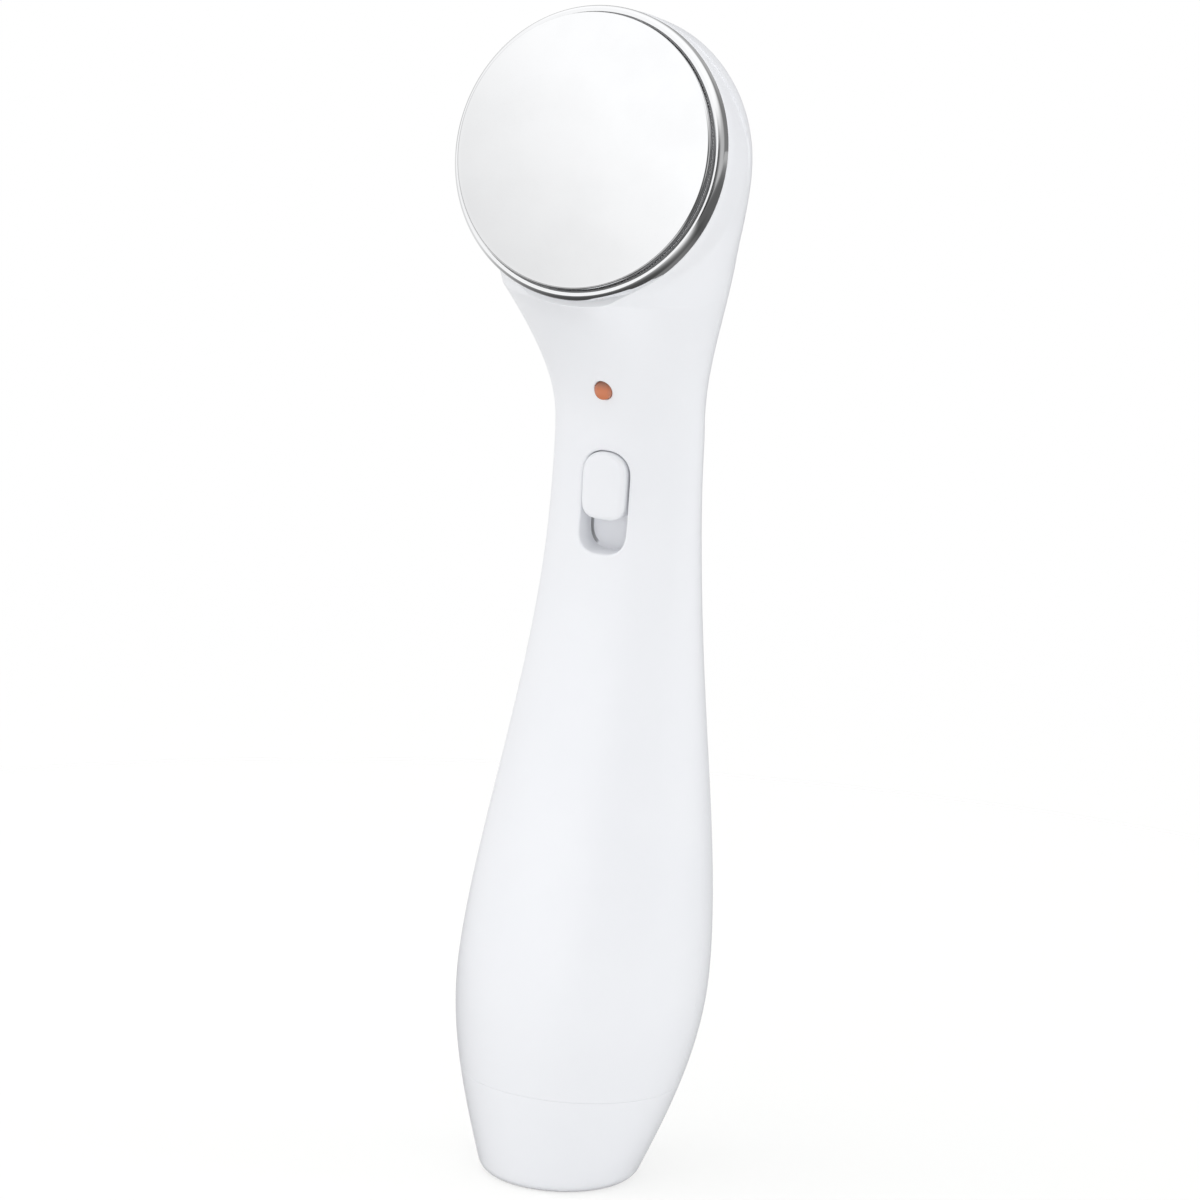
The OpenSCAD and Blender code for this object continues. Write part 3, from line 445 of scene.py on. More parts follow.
def mouldedWhite(name, colour, shade, gloss, recessShade=None):
    # Satin ABS: faint cloudiness, gloss that wanders a little, and a very fine orange peel.
    # A recess gets painted shade: a shade darker on its floor, and a painted shadow, much darker, in the
    # groove along its wall.
    kit = Kit(name)
    where = kit.place()
    # Masks for the painted shade on the recess floor and the painted shadow in its groove
    if recessShade:
        x, y, z = (kit.axis(where, letter) for letter in "XYZ")
        inside = (abs(x).between(*recessShade["across"])
                  * abs(z - recessShade["middle"]).between(*recessShade["along"]))
        floor = y.between(*recessShade["floor"]) * inside
        groove = y.between(*recessShade["groove"]) * inside
    cloud = kit.noise(where, 60, 4).between(0.35, 0.7)
    peel = kit.noise(where, 1400, 2)
    wear = kit.noise(where, 220, 5, 0.6)
    paint = kit.mix(cloud, colour, shade)
    if recessShade:
        # Painted shade on the recess floor, then a painted shadow in the groove along its wall
        paint = kit.mix(floor, paint, tuple(c * recessShade["floorShadeTone"] for c in shade))
        paint = kit.mix(groove, paint, tuple(c * recessShade["grooveShadowTone"] for c in shade))
    return kit.surface(Base_Color=paint, Roughness=gloss + wear * 0.07,
                       Normal=kit.bump(peel, 0.035, 0.0001), IOR=1.5, Coat_Weight=0.12,
                       Coat_Roughness=0.16)


def polishedChrome(name, colour, gloss):
    # Bright plating over a polished sheet: hairline buffing marks and a breath of haze
    kit = Kit(name)
    fine = kit.noise(kit.place((1, 1, 30)), 900, 3)
    haze = kit.noise(kit.place(), 150, 4).between(0.3, 0.8)
    return kit.surface(Base_Color=kit.mix(haze, colour, tuple(c * 0.97 for c in colour)),
                       Metallic=1.0, Roughness=gloss + haze * 0.02,
                       Normal=kit.bump(fine, 0.02, 0.00002))


def mouldedDark(name, colour, light, gloss):
    # Matt moulded plastic with a spark-eroded grain
    kit = Kit(name)
    grain = kit.noise(kit.place(), 2600, 2)
    cloud = kit.noise(kit.place(), 120, 3)
    return kit.surface(Base_Color=kit.mix(cloud, colour, light), Roughness=gloss + grain * 0.1,
                       Normal=kit.bump(grain, 0.12, 0.00005))


def lampOrange(name):
    # Tinted translucent plastic, with painted shade towards the top and the rim, and a painted glow low
    # down
    kit = Kit(name)
    here = kit.node("ShaderNodeTexCoord", output="Object")
    height = kit.axis(here, "Z")
    side = kit.axis(here, "X")
    # Painted shade at the top and the rim of the lens, and painted light on its lower part
    low = height.between(0.1083, 0.1069)
    rim = abs(side).between(0.0006, 0.0013)
    speck = kit.noise(kit.place(), 900, 3)
    body = kit.mix(low, (0.26, 0.11, 0.07), (0.66, 0.22, 0.105))
    return kit.surface(Base_Color=kit.mix(rim * 0.5, body, (0.42, 0.2, 0.15)),
                       Roughness=0.2 + speck * 0.08, IOR=1.49, Coat_Weight=0.4,
                       Normal=kit.bump(speck, 0.06, 0.00005))


def workedMetal(name, colour, light, gloss, stretch=(1, 1, 12)):
    # Plated or drawn metal: short marks along the piece, and patches of duller finish
    kit = Kit(name)
    marks = kit.noise(kit.place(stretch), 900, 4, 0.6)
    patch = kit.noise(kit.place(), 200, 3)
    return kit.surface(Base_Color=kit.mix(patch, colour, light), Metallic=1.0,
                       Roughness=gloss + marks * 0.18, Normal=kit.bump(marks, 0.1, 0.00004))


def woundCopper(name):
    # Enamelled wire in close turns
    kit = Kit(name)
    turns = kit.node("ShaderNodeTexWave", {"wave_type": "BANDS", "bands_direction": "Z"},
                     {"Vector": kit.place(), "Scale": 620.0, "Distortion": 0.4}, output="Fac")
    return kit.surface(Base_Color=kit.mix(turns, (0.3, 0.11, 0.04), (0.72, 0.34, 0.15)),
                       Metallic=0.85, Roughness=0.3 + turns * 0.1, Normal=kit.bump(turns, 0.5, 0.0001))


def greenBoard(name):
    # Solder mask over a weave, with lighter tracks where the copper lies under it
    kit = Kit(name)
    weave = kit.node("ShaderNodeTexBrick", {"offset": 0.5},
                     {"Vector": kit.place((1, 1, 1), (math.pi / 2, 0, 0)), "Scale": 420.0,
                      "Mortar Size": 0.08}, output="Fac")
    tracks = kit.noise(kit.place((1, 1, 0.25)), 420, 0).between(0.5, 0.53)
    return kit.surface(Base_Color=kit.mix(tracks, (0.02, 0.13, 0.05), (0.05, 0.24, 0.1)),
                       Roughness=0.3 + weave * 0.1, Normal=kit.bump(tracks + weave * 0.2, 0.3, 0.00003))


def softSleeve(name, colour, light, gloss, scale=500):
    # Insulation, rubber and shrink sleeve: an even colour with a slightly dragged surface
    kit = Kit(name)
    drag = kit.noise(kit.place((1, 1, 0.2)), scale, 4)
    return kit.surface(Base_Color=kit.mix(drag, colour, light), Roughness=gloss + drag * 0.15,
                       Normal=kit.bump(drag, 0.15, 0.00005))


def cellSleeve(name):
    # A plain green sleeve with a paler band at the button end
    kit = Kit(name)
    here = kit.node("ShaderNodeTexCoord", output="Object")
    band = kit.axis(here, "Z").between(0.0478, 0.0482)
    scuff = kit.noise(kit.place((1, 1, 0.3)), 300, 5, 0.6)
    body = kit.mix(scuff, (0.03, 0.17, 0.1), (0.05, 0.22, 0.13))
    return kit.surface(Base_Color=kit.mix(band, body, (0.55, 0.56, 0.54)), Metallic=0.35,
                       Roughness=0.28 + scuff * 0.12, Coat_Weight=0.3,
                       Normal=kit.bump(scuff, 0.06, 0.00005))


# The slot's painted shade: its floor a shade darker, and a painted shadow much darker in the groove along
# its wall
slotPaintedShade = {"middle": 0.0917, "across": (0.0037, 0.0035), "along": (0.0071, 0.0069),
              "floor": (0.0042, 0.0066), "floorShadeTone": 0.99, "groove": (0.00663, 0.00675),
              "grooveShadowTone": 0.55}
white = mouldedWhite("satinWhite", (0.922, 0.929, 0.955), (0.908, 0.916, 0.944), 0.3)
frontWhitePaintedShade = mouldedWhite("slottedWhitePaintedShade", (0.922, 0.929, 0.955), (0.908, 0.916, 0.944), 0.3,
                          slotPaintedShade)
innerWhite = mouldedWhite("plainWhite", (0.78, 0.78, 0.78), (0.74, 0.74, 0.75), 0.45)
chrome = polishedChrome("brightChrome", (0.93, 0.935, 0.945), 0.035)
black = mouldedDark("mattBlack", (0.012, 0.012, 0.014), (0.03, 0.03, 0.033), 0.5)
orange = lampOrange("lampOrange")
steel = workedMetal("platedSteel", (0.55, 0.55, 0.56), (0.68, 0.68, 0.69), 0.22)
brass = workedMetal("turnedBrass", (0.66, 0.47, 0.2), (0.8, 0.6, 0.3), 0.25)
copper = woundCopper("woundCopper")
ferrite = mouldedDark("greyFerrite", (0.05, 0.05, 0.055), (0.09, 0.09, 0.095), 0.55)
board = greenBoard("greenBoard")
darkBlue = softSleeve("blueSleeve", (0.015, 0.02, 0.08), (0.03, 0.04, 0.13), 0.3)
rubber = softSleeve("softRubber", (0.015, 0.015, 0.015), (0.03, 0.03, 0.03), 0.6, 900)
greySilicone = softSleeve("greySilicone", (0.2, 0.2, 0.205), (0.25, 0.25, 0.255), 0.4, 900)
leadRed = softSleeve("redLead", (0.45, 0.02, 0.015), (0.55, 0.04, 0.03), 0.38)
leadBlack = softSleeve("blackLead", (0.015, 0.015, 0.016), (0.035, 0.035, 0.036), 0.38)
leadWhite = softSleeve("whiteLead", (0.72, 0.72, 0.7), (0.8, 0.8, 0.78), 0.38)
leadGreen = softSleeve("greenLead", (0.03, 0.22, 0.06), (0.05, 0.3, 0.09), 0.38)
sleeveGreen = cellSleeve("cellSleeve")
print("materials made")

# the two shells
shell = {"rows": 176, "turns": 72, "columns": 46, "partingEdge": 0.05, "seamEdge": 0.06,
         "cut": -0.2, "innerCut": -2.0, "throat": 15.0,
         "slot": {"centre": (0, 91.7), "width": 6.9, "length": 13.8, "lip": 0.35, "corner": 0.06,
                  "floor": 6.6, "groove": (0.45, 0.4, 85.0, 86.2), "ends": (2.3, 2.8),
                  "whole": False},
         "slotBoss": {"wall": 0.9, "floor": 7.2},
         "lampHole": {"centre": (0, 107), "width": 2.6, "length": 2.6, "lip": 0.15, "corner": 0.1,
                      "floor": 3.0, "whole": False},
         "screws": [(-11.6, 38.0, 8.35), (0, 68.6, 11.5), (0, 116.0, 9.1)],
         "screwBoss": {"wall": 0.8, "depth": 2.2}}


def shellLevels(inset, cut):
    # Rows climb evenly from the seam to the foot of the cut, then by even turns round the cut
    turn = np.linspace(0, math.pi, shell["turns"] + 1)
    r = cutRadius(turn, cut, inset)
    edge = headPoint(-r * np.sin(turn), -r * np.cos(turn), cut)
    t = np.concatenate([[0, 0.0003, 0.0006, 0.001], np.linspace(0.0045, 1, shell["rows"] - 4)])
    low = handle["seam"] + (edge[0, 2] - handle["seam"]) * t[:-1]
    return low, edge


def quarterGrid(inset, cut, rear, bevels):
    # A quarter of the skin: columns run from the parting line at the left to the middle of the
    # front or of the back, and above the cut's foot to the cut's edge
    low, edge = shellLevels(inset, cut)
    z = np.concatenate([low, edge[:, 2]])
    last = np.full(len(z), 1.5 * math.pi)
    if rear:
        last[:] = math.pi / 2
    else:
        last[len(low):] = np.arctan2(edge[:, 1] - middle(edge[:, 2]), edge[:, 0]) % (2 * math.pi)
    u = np.concatenate([[0, 0.0008, 0.0018, 0.0035], np.linspace(0.012, 1, shell["columns"] - 4)])
    a = math.pi + (last[:, None] - math.pi) * u
    zz = np.repeat(z[:, None], len(u), 1)
    points = skinPoint(a, zz, inset)
    if bevels:
        beside = np.abs(points[..., 1] - middle(zz))
        drawn = np.maximum(rounded(beside, shell["partingEdge"]),
                           rounded(zz - handle["seam"], shell["seamEdge"]))
        points = skinPoint(a, zz, inset + drawn)
    if not rear:
        points[len(low):, -1] = edge
    points[-1] = edge[-1]
    points[:len(low), -1, 0] = 0
    if rear:
        points[:, -1, 0] = 0
    return points, len(low)


def holeIn(points, pocket, margin):
    # The rows and columns of the grid that a pocket's border takes, and the border's points
    x, z = pocket["centre"]
    column = points[points[:, -1, 2] <= z][-1, :, 0]
    rows = np.where(np.abs(points[:, -1, 2] - z) < pocket["length"] / 2 + margin)[0]
    r0, r1 = rows[0], rows[-1]
    columns = np.where(np.abs(column - x) < pocket["width"] / 2 + margin)[0]
    c0, c1 = columns[0], columns[-1]
    if pocket["whole"]:
        border = np.concatenate([points[r0, c0:c1], points[r0:r1, c1], points[r1, c1:c0:-1],
                                 points[r1:r0:-1, c0]])
    else:
        border = np.concatenate([points[r0, c1:c0:-1], points[r0:r1, c0], points[r1, c0:c1 + 1]])
    return (r0, r1, c0, c1), border


def bossOf(pocket, wall, floor):
    # What the inner skin does round a pocket: the same outline, wider by a wall, to its own floor
    boss = {key: value for key, value in pocket.items() if key != "groove"}
    boss.update(width=pocket["width"] + 2 * wall, length=pocket["length"] + 2 * wall, floor=floor)
    return boss


def makeFront():
    work = Patchwork()
    outer, foot = quarterGrid(0.0, shell["cut"], False, True)
    inner, innerFoot = quarterGrid(handle["wall"], shell["innerCut"], False, False)
    holes = []
    for pocket in (shell["slot"], shell["lampHole"]):
        hole, border = holeIn(outer, pocket, 1.3 if pocket["width"] > 4 else 0.9)
        holes.append(hole)
        sinkPocket(work, border, pocket, -1)
    boss = bossOf(shell["slot"], **shell["slotBoss"])
    hole, border = holeIn(inner, boss, 0.9)
    sinkPocket(work, border, boss, -1, handle["wall"])
    work.grid(outer, holes)
    work.grid(inner, [hole])
    work.grid(np.stack([outer[0], inner[0]]))
    work.grid(np.stack([outer[:, 0], inner[:, 0]]))
    # The land: a quarter round from the cut, flat to the throat, back, and out to the inner skin
    turn = np.linspace(0, math.pi, shell["turns"] + 1)
    lip = -shell["cut"]
    r = cutRadius(turn, shell["cut"])
    rows = [outer[foot:, -1]]
    for v in np.radians(np.linspace(0, 90, 6)[1:]):
        q = r - lip * (1 - math.cos(v))
        rows.append(headPoint(-q * np.sin(turn), -q * np.cos(turn), -lip * (1 - math.sin(v))))
    t = shell["throat"]
    for out in (0.0, shell["innerCut"]):
        rows.append(headPoint(-t * np.sin(turn), -t * np.cos(turn), out))
    rows.append(inner[innerFoot:, -1])
    land = np.stack(rows)
    land[:, [0, -1], 0] = 0
    work.grid(land)
    work.mirror()
    return work.finish("frontSkin", "handle", frontWhitePaintedShade, ["front_shell"])


def makeRear():
    work = Patchwork()
    outer, _ = quarterGrid(0.0, shell["cut"], True, True)
    inner, _ = quarterGrid(handle["wall"], shell["innerCut"], True, False)
    holes, innerHoles = [], []
    for x, z, floor in shell["screws"]:
        pocket = {"centre": (x, z), "width": 3.8, "length": 3.8, "lip": 0.25, "corner": 0.15,
                  "floor": floor, "whole": x != 0}
        hole, border = holeIn(outer, pocket, 1.1)
        holes.append(hole)
        sinkPocket(work, border, pocket, 1)
        boss = bossOf(pocket, shell["screwBoss"]["wall"], floor - shell["screwBoss"]["depth"])
        hole, border = holeIn(inner, boss, 0.5)
        innerHoles.append(hole)
        sinkPocket(work, border, boss, 1, handle["wall"])
    work.grid(outer, holes)
    work.grid(inner, innerHoles)
    work.grid(np.stack([outer[0], inner[0]]))
    work.grid(np.stack([outer[:, 0], inner[:, 0]]))
    work.mirror()
    return work.finish("rearSkin", "handle", white, ["rear_shell"])


makeFront()
makeRear()

# the end cap
endCap = {"sides": 128, "topEdge": 0.06, "spigotGap": 0.3, "spigotWall": 1.2, "spigotHeight": 3.6,
          "collar": 3.4, "floor": 2.4, "seatRadius": 6.0, "seatLevel": -6.8}
cellPlace = {"forward": 1.5, "foot": 10.6, "lean": 7.5}


def cellPoint(x, y, l):
    # A point of the leaning cell's own frame: l runs up the cell
    s, c = (f(math.radians(cellPlace["lean"])) for f in (math.sin, math.cos))
    x, y, l = np.broadcast_arrays(x, y, l)
    return np.stack([x, cellPlace["forward"] + y * c + l * s, cellPlace["foot"] - y * s + l * c], -1)


def makeCap():
    # Ovals at chosen heights, drawn in by chosen insets, from the base's middle up the outside,
    # over the spigot and down to the middle of the inner floor. Shape says whose oval is used.
    top, wall = handle["seam"], handle["wall"]
    inner = wall + endCap["spigotGap"] + endCap["spigotWall"]
    rows = [(0, 0, -s) for s in (0.0, 0.3, 0.6, 0.9, 1.0)]
    e = handle["baseEdge"]
    rows += [(e * (1 - math.cos(v)), None, 0) for v in np.radians(np.linspace(0, 90, 10)[1:])]
    rows += [(z, None, 0) for z in np.linspace(e, top - 0.5, 26)[1:]]
    rows += [(top - endCap["topEdge"] * (1 - math.sin(v)), None, endCap["topEdge"] * (1 - math.cos(v)))
             for v in np.radians(np.linspace(0, 90, 6))]
    gap = wall + endCap["spigotGap"]
    high = top + endCap["spigotHeight"]
    rows += [(top, top, gap), (high - 0.3, top, gap), (high, top, gap + 0.3),
             (high, top, inner - 0.2), (high - 0.2, top, inner), (top - endCap["collar"], top, inner)]
    low = top - endCap["collar"]
    rows += [(low, None, wall)] + [(z, None, wall) for z in np.linspace(low, endCap["floor"], 8)[1:]]
    rows += [(endCap["floor"], endCap["floor"], -s) for s in (0.6, 0.3, 0.0)]
    a = np.linspace(0, 2 * math.pi, endCap["sides"], endpoint=False)
    rings = []
    for z, shape, inset in rows:
        h = np.array(float(z if shape is None else shape))
        w, d = halfWidth(h), halfDepth(h)
        if inset < 0 or (inset == 0 and shape is not None):
            k = -inset if shape is not None else 1.0
            less = wall if z > 0 else 0
            w, d = (w - less) * k, (d - less) * k
        else:
            w, d = w - inset, d - inset
        rings.append(np.stack([w * np.cos(a), middle(h) + d * np.sin(a), np.full(a.shape, float(z))], -1))
    work = Patchwork()
    work.grid(np.stack(rings), around=True)
    r, l = endCap["seatRadius"], endCap["seatLevel"]
    seat = lathe([[0, l], [r - 0.3, l], [r, l - 0.3], [r, l - 1.0], [r - 1.2, l - 1.4], [0, l - 1.4]],
                 96, lambda x, y, h: cellPoint(x, y, h))
    work.grid(seat, around=True)
    return work.finish("capSkin", "cap", white, ["battery_cap"], weld=0.002)


makeCap()

# ring and face plate
ring = {"radius": 19.2, "hole": 15.2, "seat": 1.6, "step": 18.2, "height": 2.1, "shoulder": 1.2,
        "breakAngle": 55, "sides": 256}
plate = {"radius": 18.0, "foot": 1.8, "top": 3.3, "crown": 0.9, "sheet": 0.5, "corner": 0.3,
         "rim": 0.18, "stud": 1.5, "studFoot": -2.4, "sides": 256}
seal = {"inside": 18.01, "outside": 18.19, "foot": 1.61, "height": 2.14, "edge": 0.05, "sides": 256}


def makeRing():
    # Flat underneath, a step up round the plate, a narrow flat top, and a round shoulder that
    # starts at a crisp edge and ends in an upright one
    r, h, k = ring["radius"], ring["height"], ring["shoulder"]
    hole, seat, step = ring["hole"], ring["seat"], ring["step"]
    profile = [[hole, 0.05], [hole + 0.05, 0], [r - 0.1, 0], [r, 0.1]]
    profile += arc((r - k, h - k * math.sin(math.radians(ring["breakAngle"]))), k, 0,
                   ring["breakAngle"], 14)
    profile += [[step + 0.06, h], [step, h - 0.06], [step, seat], [hole + 0.1, seat],
                [hole, seat - 0.1], [hole, 0.05]]
    work = Patchwork()
    work.grid(lathe(profile, ring["sides"], headPoint), around=True)
    return work.finish("contactRing", "handle", chrome, ["head_ring"], sharp=30)


def makePlate():
    # A shallow dome that is part of a sphere, a rolled corner, a turned-down rim, and the stud
    r, c, k, top = plate["radius"], plate["corner"], plate["crown"], plate["top"]
    ball = ((r - c) ** 2 + k * k) / (2 * k)
    x = np.linspace(0, r - c, 40)
    profile = [[v, top + k - ball + math.sqrt(ball * ball - v * v)] for v in x]
    profile += arc((r - c, top - c), c, 84, 0, 10)
    under, foot, rim, pin = top - plate["sheet"], plate["foot"], plate["rim"], plate["stud"]
    profile += [[r, foot + 0.04], [r - 0.04, foot], [r - rim + 0.04, foot], [r - rim, foot + 0.04],
                [r - rim, under], [pin, under], [pin, plate["studFoot"] + 0.2],
                [pin - 0.2, plate["studFoot"]], [0, plate["studFoot"]]]
    work = Patchwork()
    work.grid(lathe(profile, plate["sides"], headPoint), around=True)
    return work.finish("facePlate", "handle", chrome, ["head_plate"], sharp=50)


def makeSeal():
    # The insulating band in the groove between plate and ring, its outer edge a quarter round
    i, o, e, top = seal["inside"], seal["outside"], seal["edge"], seal["height"]
    profile = [[i, seal["foot"]], [i, top - 0.02], [i + 0.02, top]]
    profile += arc((o - e, top - e), e, 90, 0, 7) + [[o, seal["foot"]], [i, seal["foot"]]]
    work = Patchwork()
    work.grid(lathe(profile, seal["sides"], headPoint), around=True)
    return work.finish("insulatingSeal", "handle", greySilicone, sharp=50)


makeRing()
makePlate()
makeSeal()

# knob and lamp
knob = {"width": 6.3, "length": 9.1, "height": 93.95, "front": 2.6, "back": 6.5, "edge": 0.75,
        "crown": 0.25, "ends": (2.3, 3.3), "points": 44}
lamp = {"radius": 1.25, "height": 107.0, "front": 0.98, "dome": 0.4, "length": 3.6, "flange": 1.9,
        "flangeLength": 0.6, "sides": 96}


def makeKnob():
    # A bar with round ends: back face, wall, rounded edge, and a gently crowned front
    n = knob["points"]
    end = np.linspace(-math.pi / 2, math.pi / 2, n)
    straight = (knob["length"] - knob["width"]) / 2
    upper = np.stack([np.sin(end), np.cos(end)], -1)
    away = squarer(np.concatenate([upper, upper[::-1] * (1, -1)]), *knob["ends"])
    base = np.concatenate([np.tile([0, straight], (n, 1)), np.tile([0, -straight], (n, 1))])
    away = np.concatenate([away[:n], np.linspace((1, 0), (1, 0), 8)[1:-1], away[n:],
                           np.linspace((-1, 0), (-1, 0), 8)[1:-1]])
    base = np.concatenate([base[:n], np.linspace((0, straight), (0, -straight), 8)[1:-1], base[n:],
                           np.linspace((0, -straight), (0, straight), 8)[1:-1]])
    r, e, f = knob["width"] / 2, knob["edge"], knob["front"]
    rings = [(0.0, knob["back"]), (0.5, knob["back"]), (0.95, knob["back"]), (1.0, knob["back"] - 0.15)]
    rows = [(r * s, y) for s, y in rings]
    rows += [(r, y) for y in np.linspace(knob["back"] - 0.15, f + e, 5)[1:]]
    rows += [(r - e * (1 - math.cos(v)), f + e * (1 - math.sin(v)))
             for v in np.radians(np.linspace(0, 80, 9)[1:])]
    inner, y0 = rows[-1]
    rows += [(inner * s, y0 - knob["crown"] * (1 - s * s)) for s in np.linspace(1, 0, 10)[1:]]
    points = np.stack([np.stack([base[:, 0] + away[:, 0] * o, np.full(len(base), y),
                                 knob["height"] + base[:, 1] + away[:, 1] * o], -1)
                       for o, y in rows])
    work = Patchwork()
    work.grid(points, around=True)
    return work.finish("slideKnob", "switch_slider", white, ["switch_knob"], sharp=50)


def makeLamp():
    # A round rod with a domed front and a flange behind, its axis running backwards
    r, d = lamp["radius"], lamp["dome"]
    ball = (r * r + d * d) / (2 * d)
    profile = [[v, ball - math.sqrt(ball * ball - v * v)] for v in np.linspace(0, r - 0.06, 16)]
    profile += [[r, d + 0.02]]
    back = lamp["length"]
    profile += [[r, back - lamp["flangeLength"]], [lamp["flange"], back - lamp["flangeLength"]],
                [lamp["flange"], back], [0, back]]
    work = Patchwork()
    work.grid(lathe(profile, lamp["sides"], lambda x, y, l: np.stack(
        np.broadcast_arrays(x, lamp["front"] + l, lamp["height"] + y), -1)), around=True)
    return work.finish("lampLens", "handle", orange, ["indicator_lens"])


makeKnob()
makeLamp()

# cell and spring
cell = {"radius": 7.1, "length": 50.5, "button": 1.2, "shoulder": 0.9, "sides": 128}
spring = {"turns": 4, "wire": 0.35, "footRadius": 4.6, "topRadius": 3.0, "foot": -6.03, "top": -0.65,
          "steps": 240, "sides": 14}


def makeCell():
    # A can with a rolled shoulder, the sleeve's shrunk edges, and a shallow dished foot
    r, s, top = cell["radius"], cell["shoulder"], cell["length"] - cell["button"]
    profile = [[0, 0.25], [4.6, 0.25], [5.0, 0.0], [5.9, 0.0], [6.0, 0.12], [r - 0.35, 0.12]]
    profile += arc((r - 0.3, 0.42), 0.3, -90, 0, 5)
    profile += arc((r - s, top - s), s, 0, 90, 9)
    profile += [[4.9, top], [4.85, top - 0.12], [2.7, top - 0.12], [0, top - 0.12]]
    work = Patchwork()
    work.grid(lathe(profile, cell["sides"], cellPoint), around=True)
    return work.finish("cellCan", "cell", sleeveGreen, ["cell_can"])


def makeSpring():
    # A conical coil: the radius shrinks evenly as the wire climbs, and the wire is a round tube
    t = np.linspace(0, 1, spring["steps"])
    r = spring["footRadius"] + (spring["topRadius"] - spring["footRadius"]) * t
    a = 2 * math.pi * spring["turns"] * t
    line = cellPoint(r * np.cos(a), r * np.sin(a), spring["foot"] + (spring["top"] - spring["foot"]) * t)
    along = np.gradient(line, axis=0)
    along /= np.linalg.norm(along, axis=1, keepdims=True)
    out = cellPoint(np.cos(a), np.sin(a), 0) - cellPoint(0, 0, 0)
    side = np.cross(along, out)
    side /= np.linalg.norm(side, axis=1, keepdims=True)
    out = np.cross(side, along)
    v = np.linspace(0, 2 * math.pi, spring["sides"], endpoint=False)[:, None]
    tube = line[:, None] + spring["wire"] * (np.cos(v) * out[:, None] + np.sin(v) * side[:, None])
    ends = [np.repeat(line[i][None], len(v), 0)[None] for i in (0, -1)]
    work = Patchwork()
    work.grid(np.concatenate([ends[0], tube, ends[1]]), around=True)
    return work.finish("coilSpring", "cap", steel, ["cap_spring"], weld=0.001)


makeCell()
makeSpring()

# finishes of the inner pieces
finishes = {
    "steel": (steel, "plate_lug ring_lug switch_frame led_leads negative_strip positive_contact "
              "cap_contact motor_can cell_button case_screws board_screws clip_screws motor_shaft"),
    "brass": (brass, "plate_nut switch_pins motor_bush motor_terminals eccentric_weight"),
    "copper": (copper, "boost_inductor armature commutator"),
    "black": (black, "head_carrier switch_actuator motor_end_cap driver_chip transistor resistors"),
    "plain white": (innerWhite, "battery_tube motor_clip"),
    "orange": (orange, "led"), "ferrite": (ferrite, "motor_magnets"),
    "board": (board, "circuit_board"), "blue": (darkBlue, "electrolytic_capacitor"),
    "rubber": (rubber, "motor_sleeve"), "red": (leadRed, "motor_lead_red battery_lead_red"),
    "dark lead": (leadBlack, "motor_lead_black battery_lead_black"),
    "white lead": (leadWhite, "plate_lead"), "green lead": (leadGreen, "ring_lead"),
    "white": (white, "front_shell rear_shell battery_cap switch_knob"),
    "chrome": (chrome, "head_ring head_plate"), "lens": (orange, "indicator_lens"),
    "sleeve": (sleeveGreen, "cell_can"), "spring": (steel, "cap_spring")}
for material, names in finishes.values():
    for name in names.split():
        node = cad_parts[name]
        node.data.materials.clear()
        node.data.materials.append(material)
print("inner pieces finished")

# floor, light and world
# The last values set the painted reflection and painted shade that metal sees on the floor
studio = {"floorSize": 4.0, "shadowShare": 0.36, "shadowReach": (0.12, 0.4), "bounce": 0.95,
          "roomLight": 0.7, "topPower": 3.9, "keyPower": 1.05, "fillPower": 0.1, "lowPower": 0.55,
          "sidePower": 1.3, "mirrorReach": (0.05, 0.32), "mirrorNear": 0.07, "mirrorRise": 0.68,
          "reflectionShadeReach": (0.04, 0.2), "reflectionShadeFade": (2.0, 0.4), "frontReach": (0.3, 0.6),
          "frontShade": 0.85}


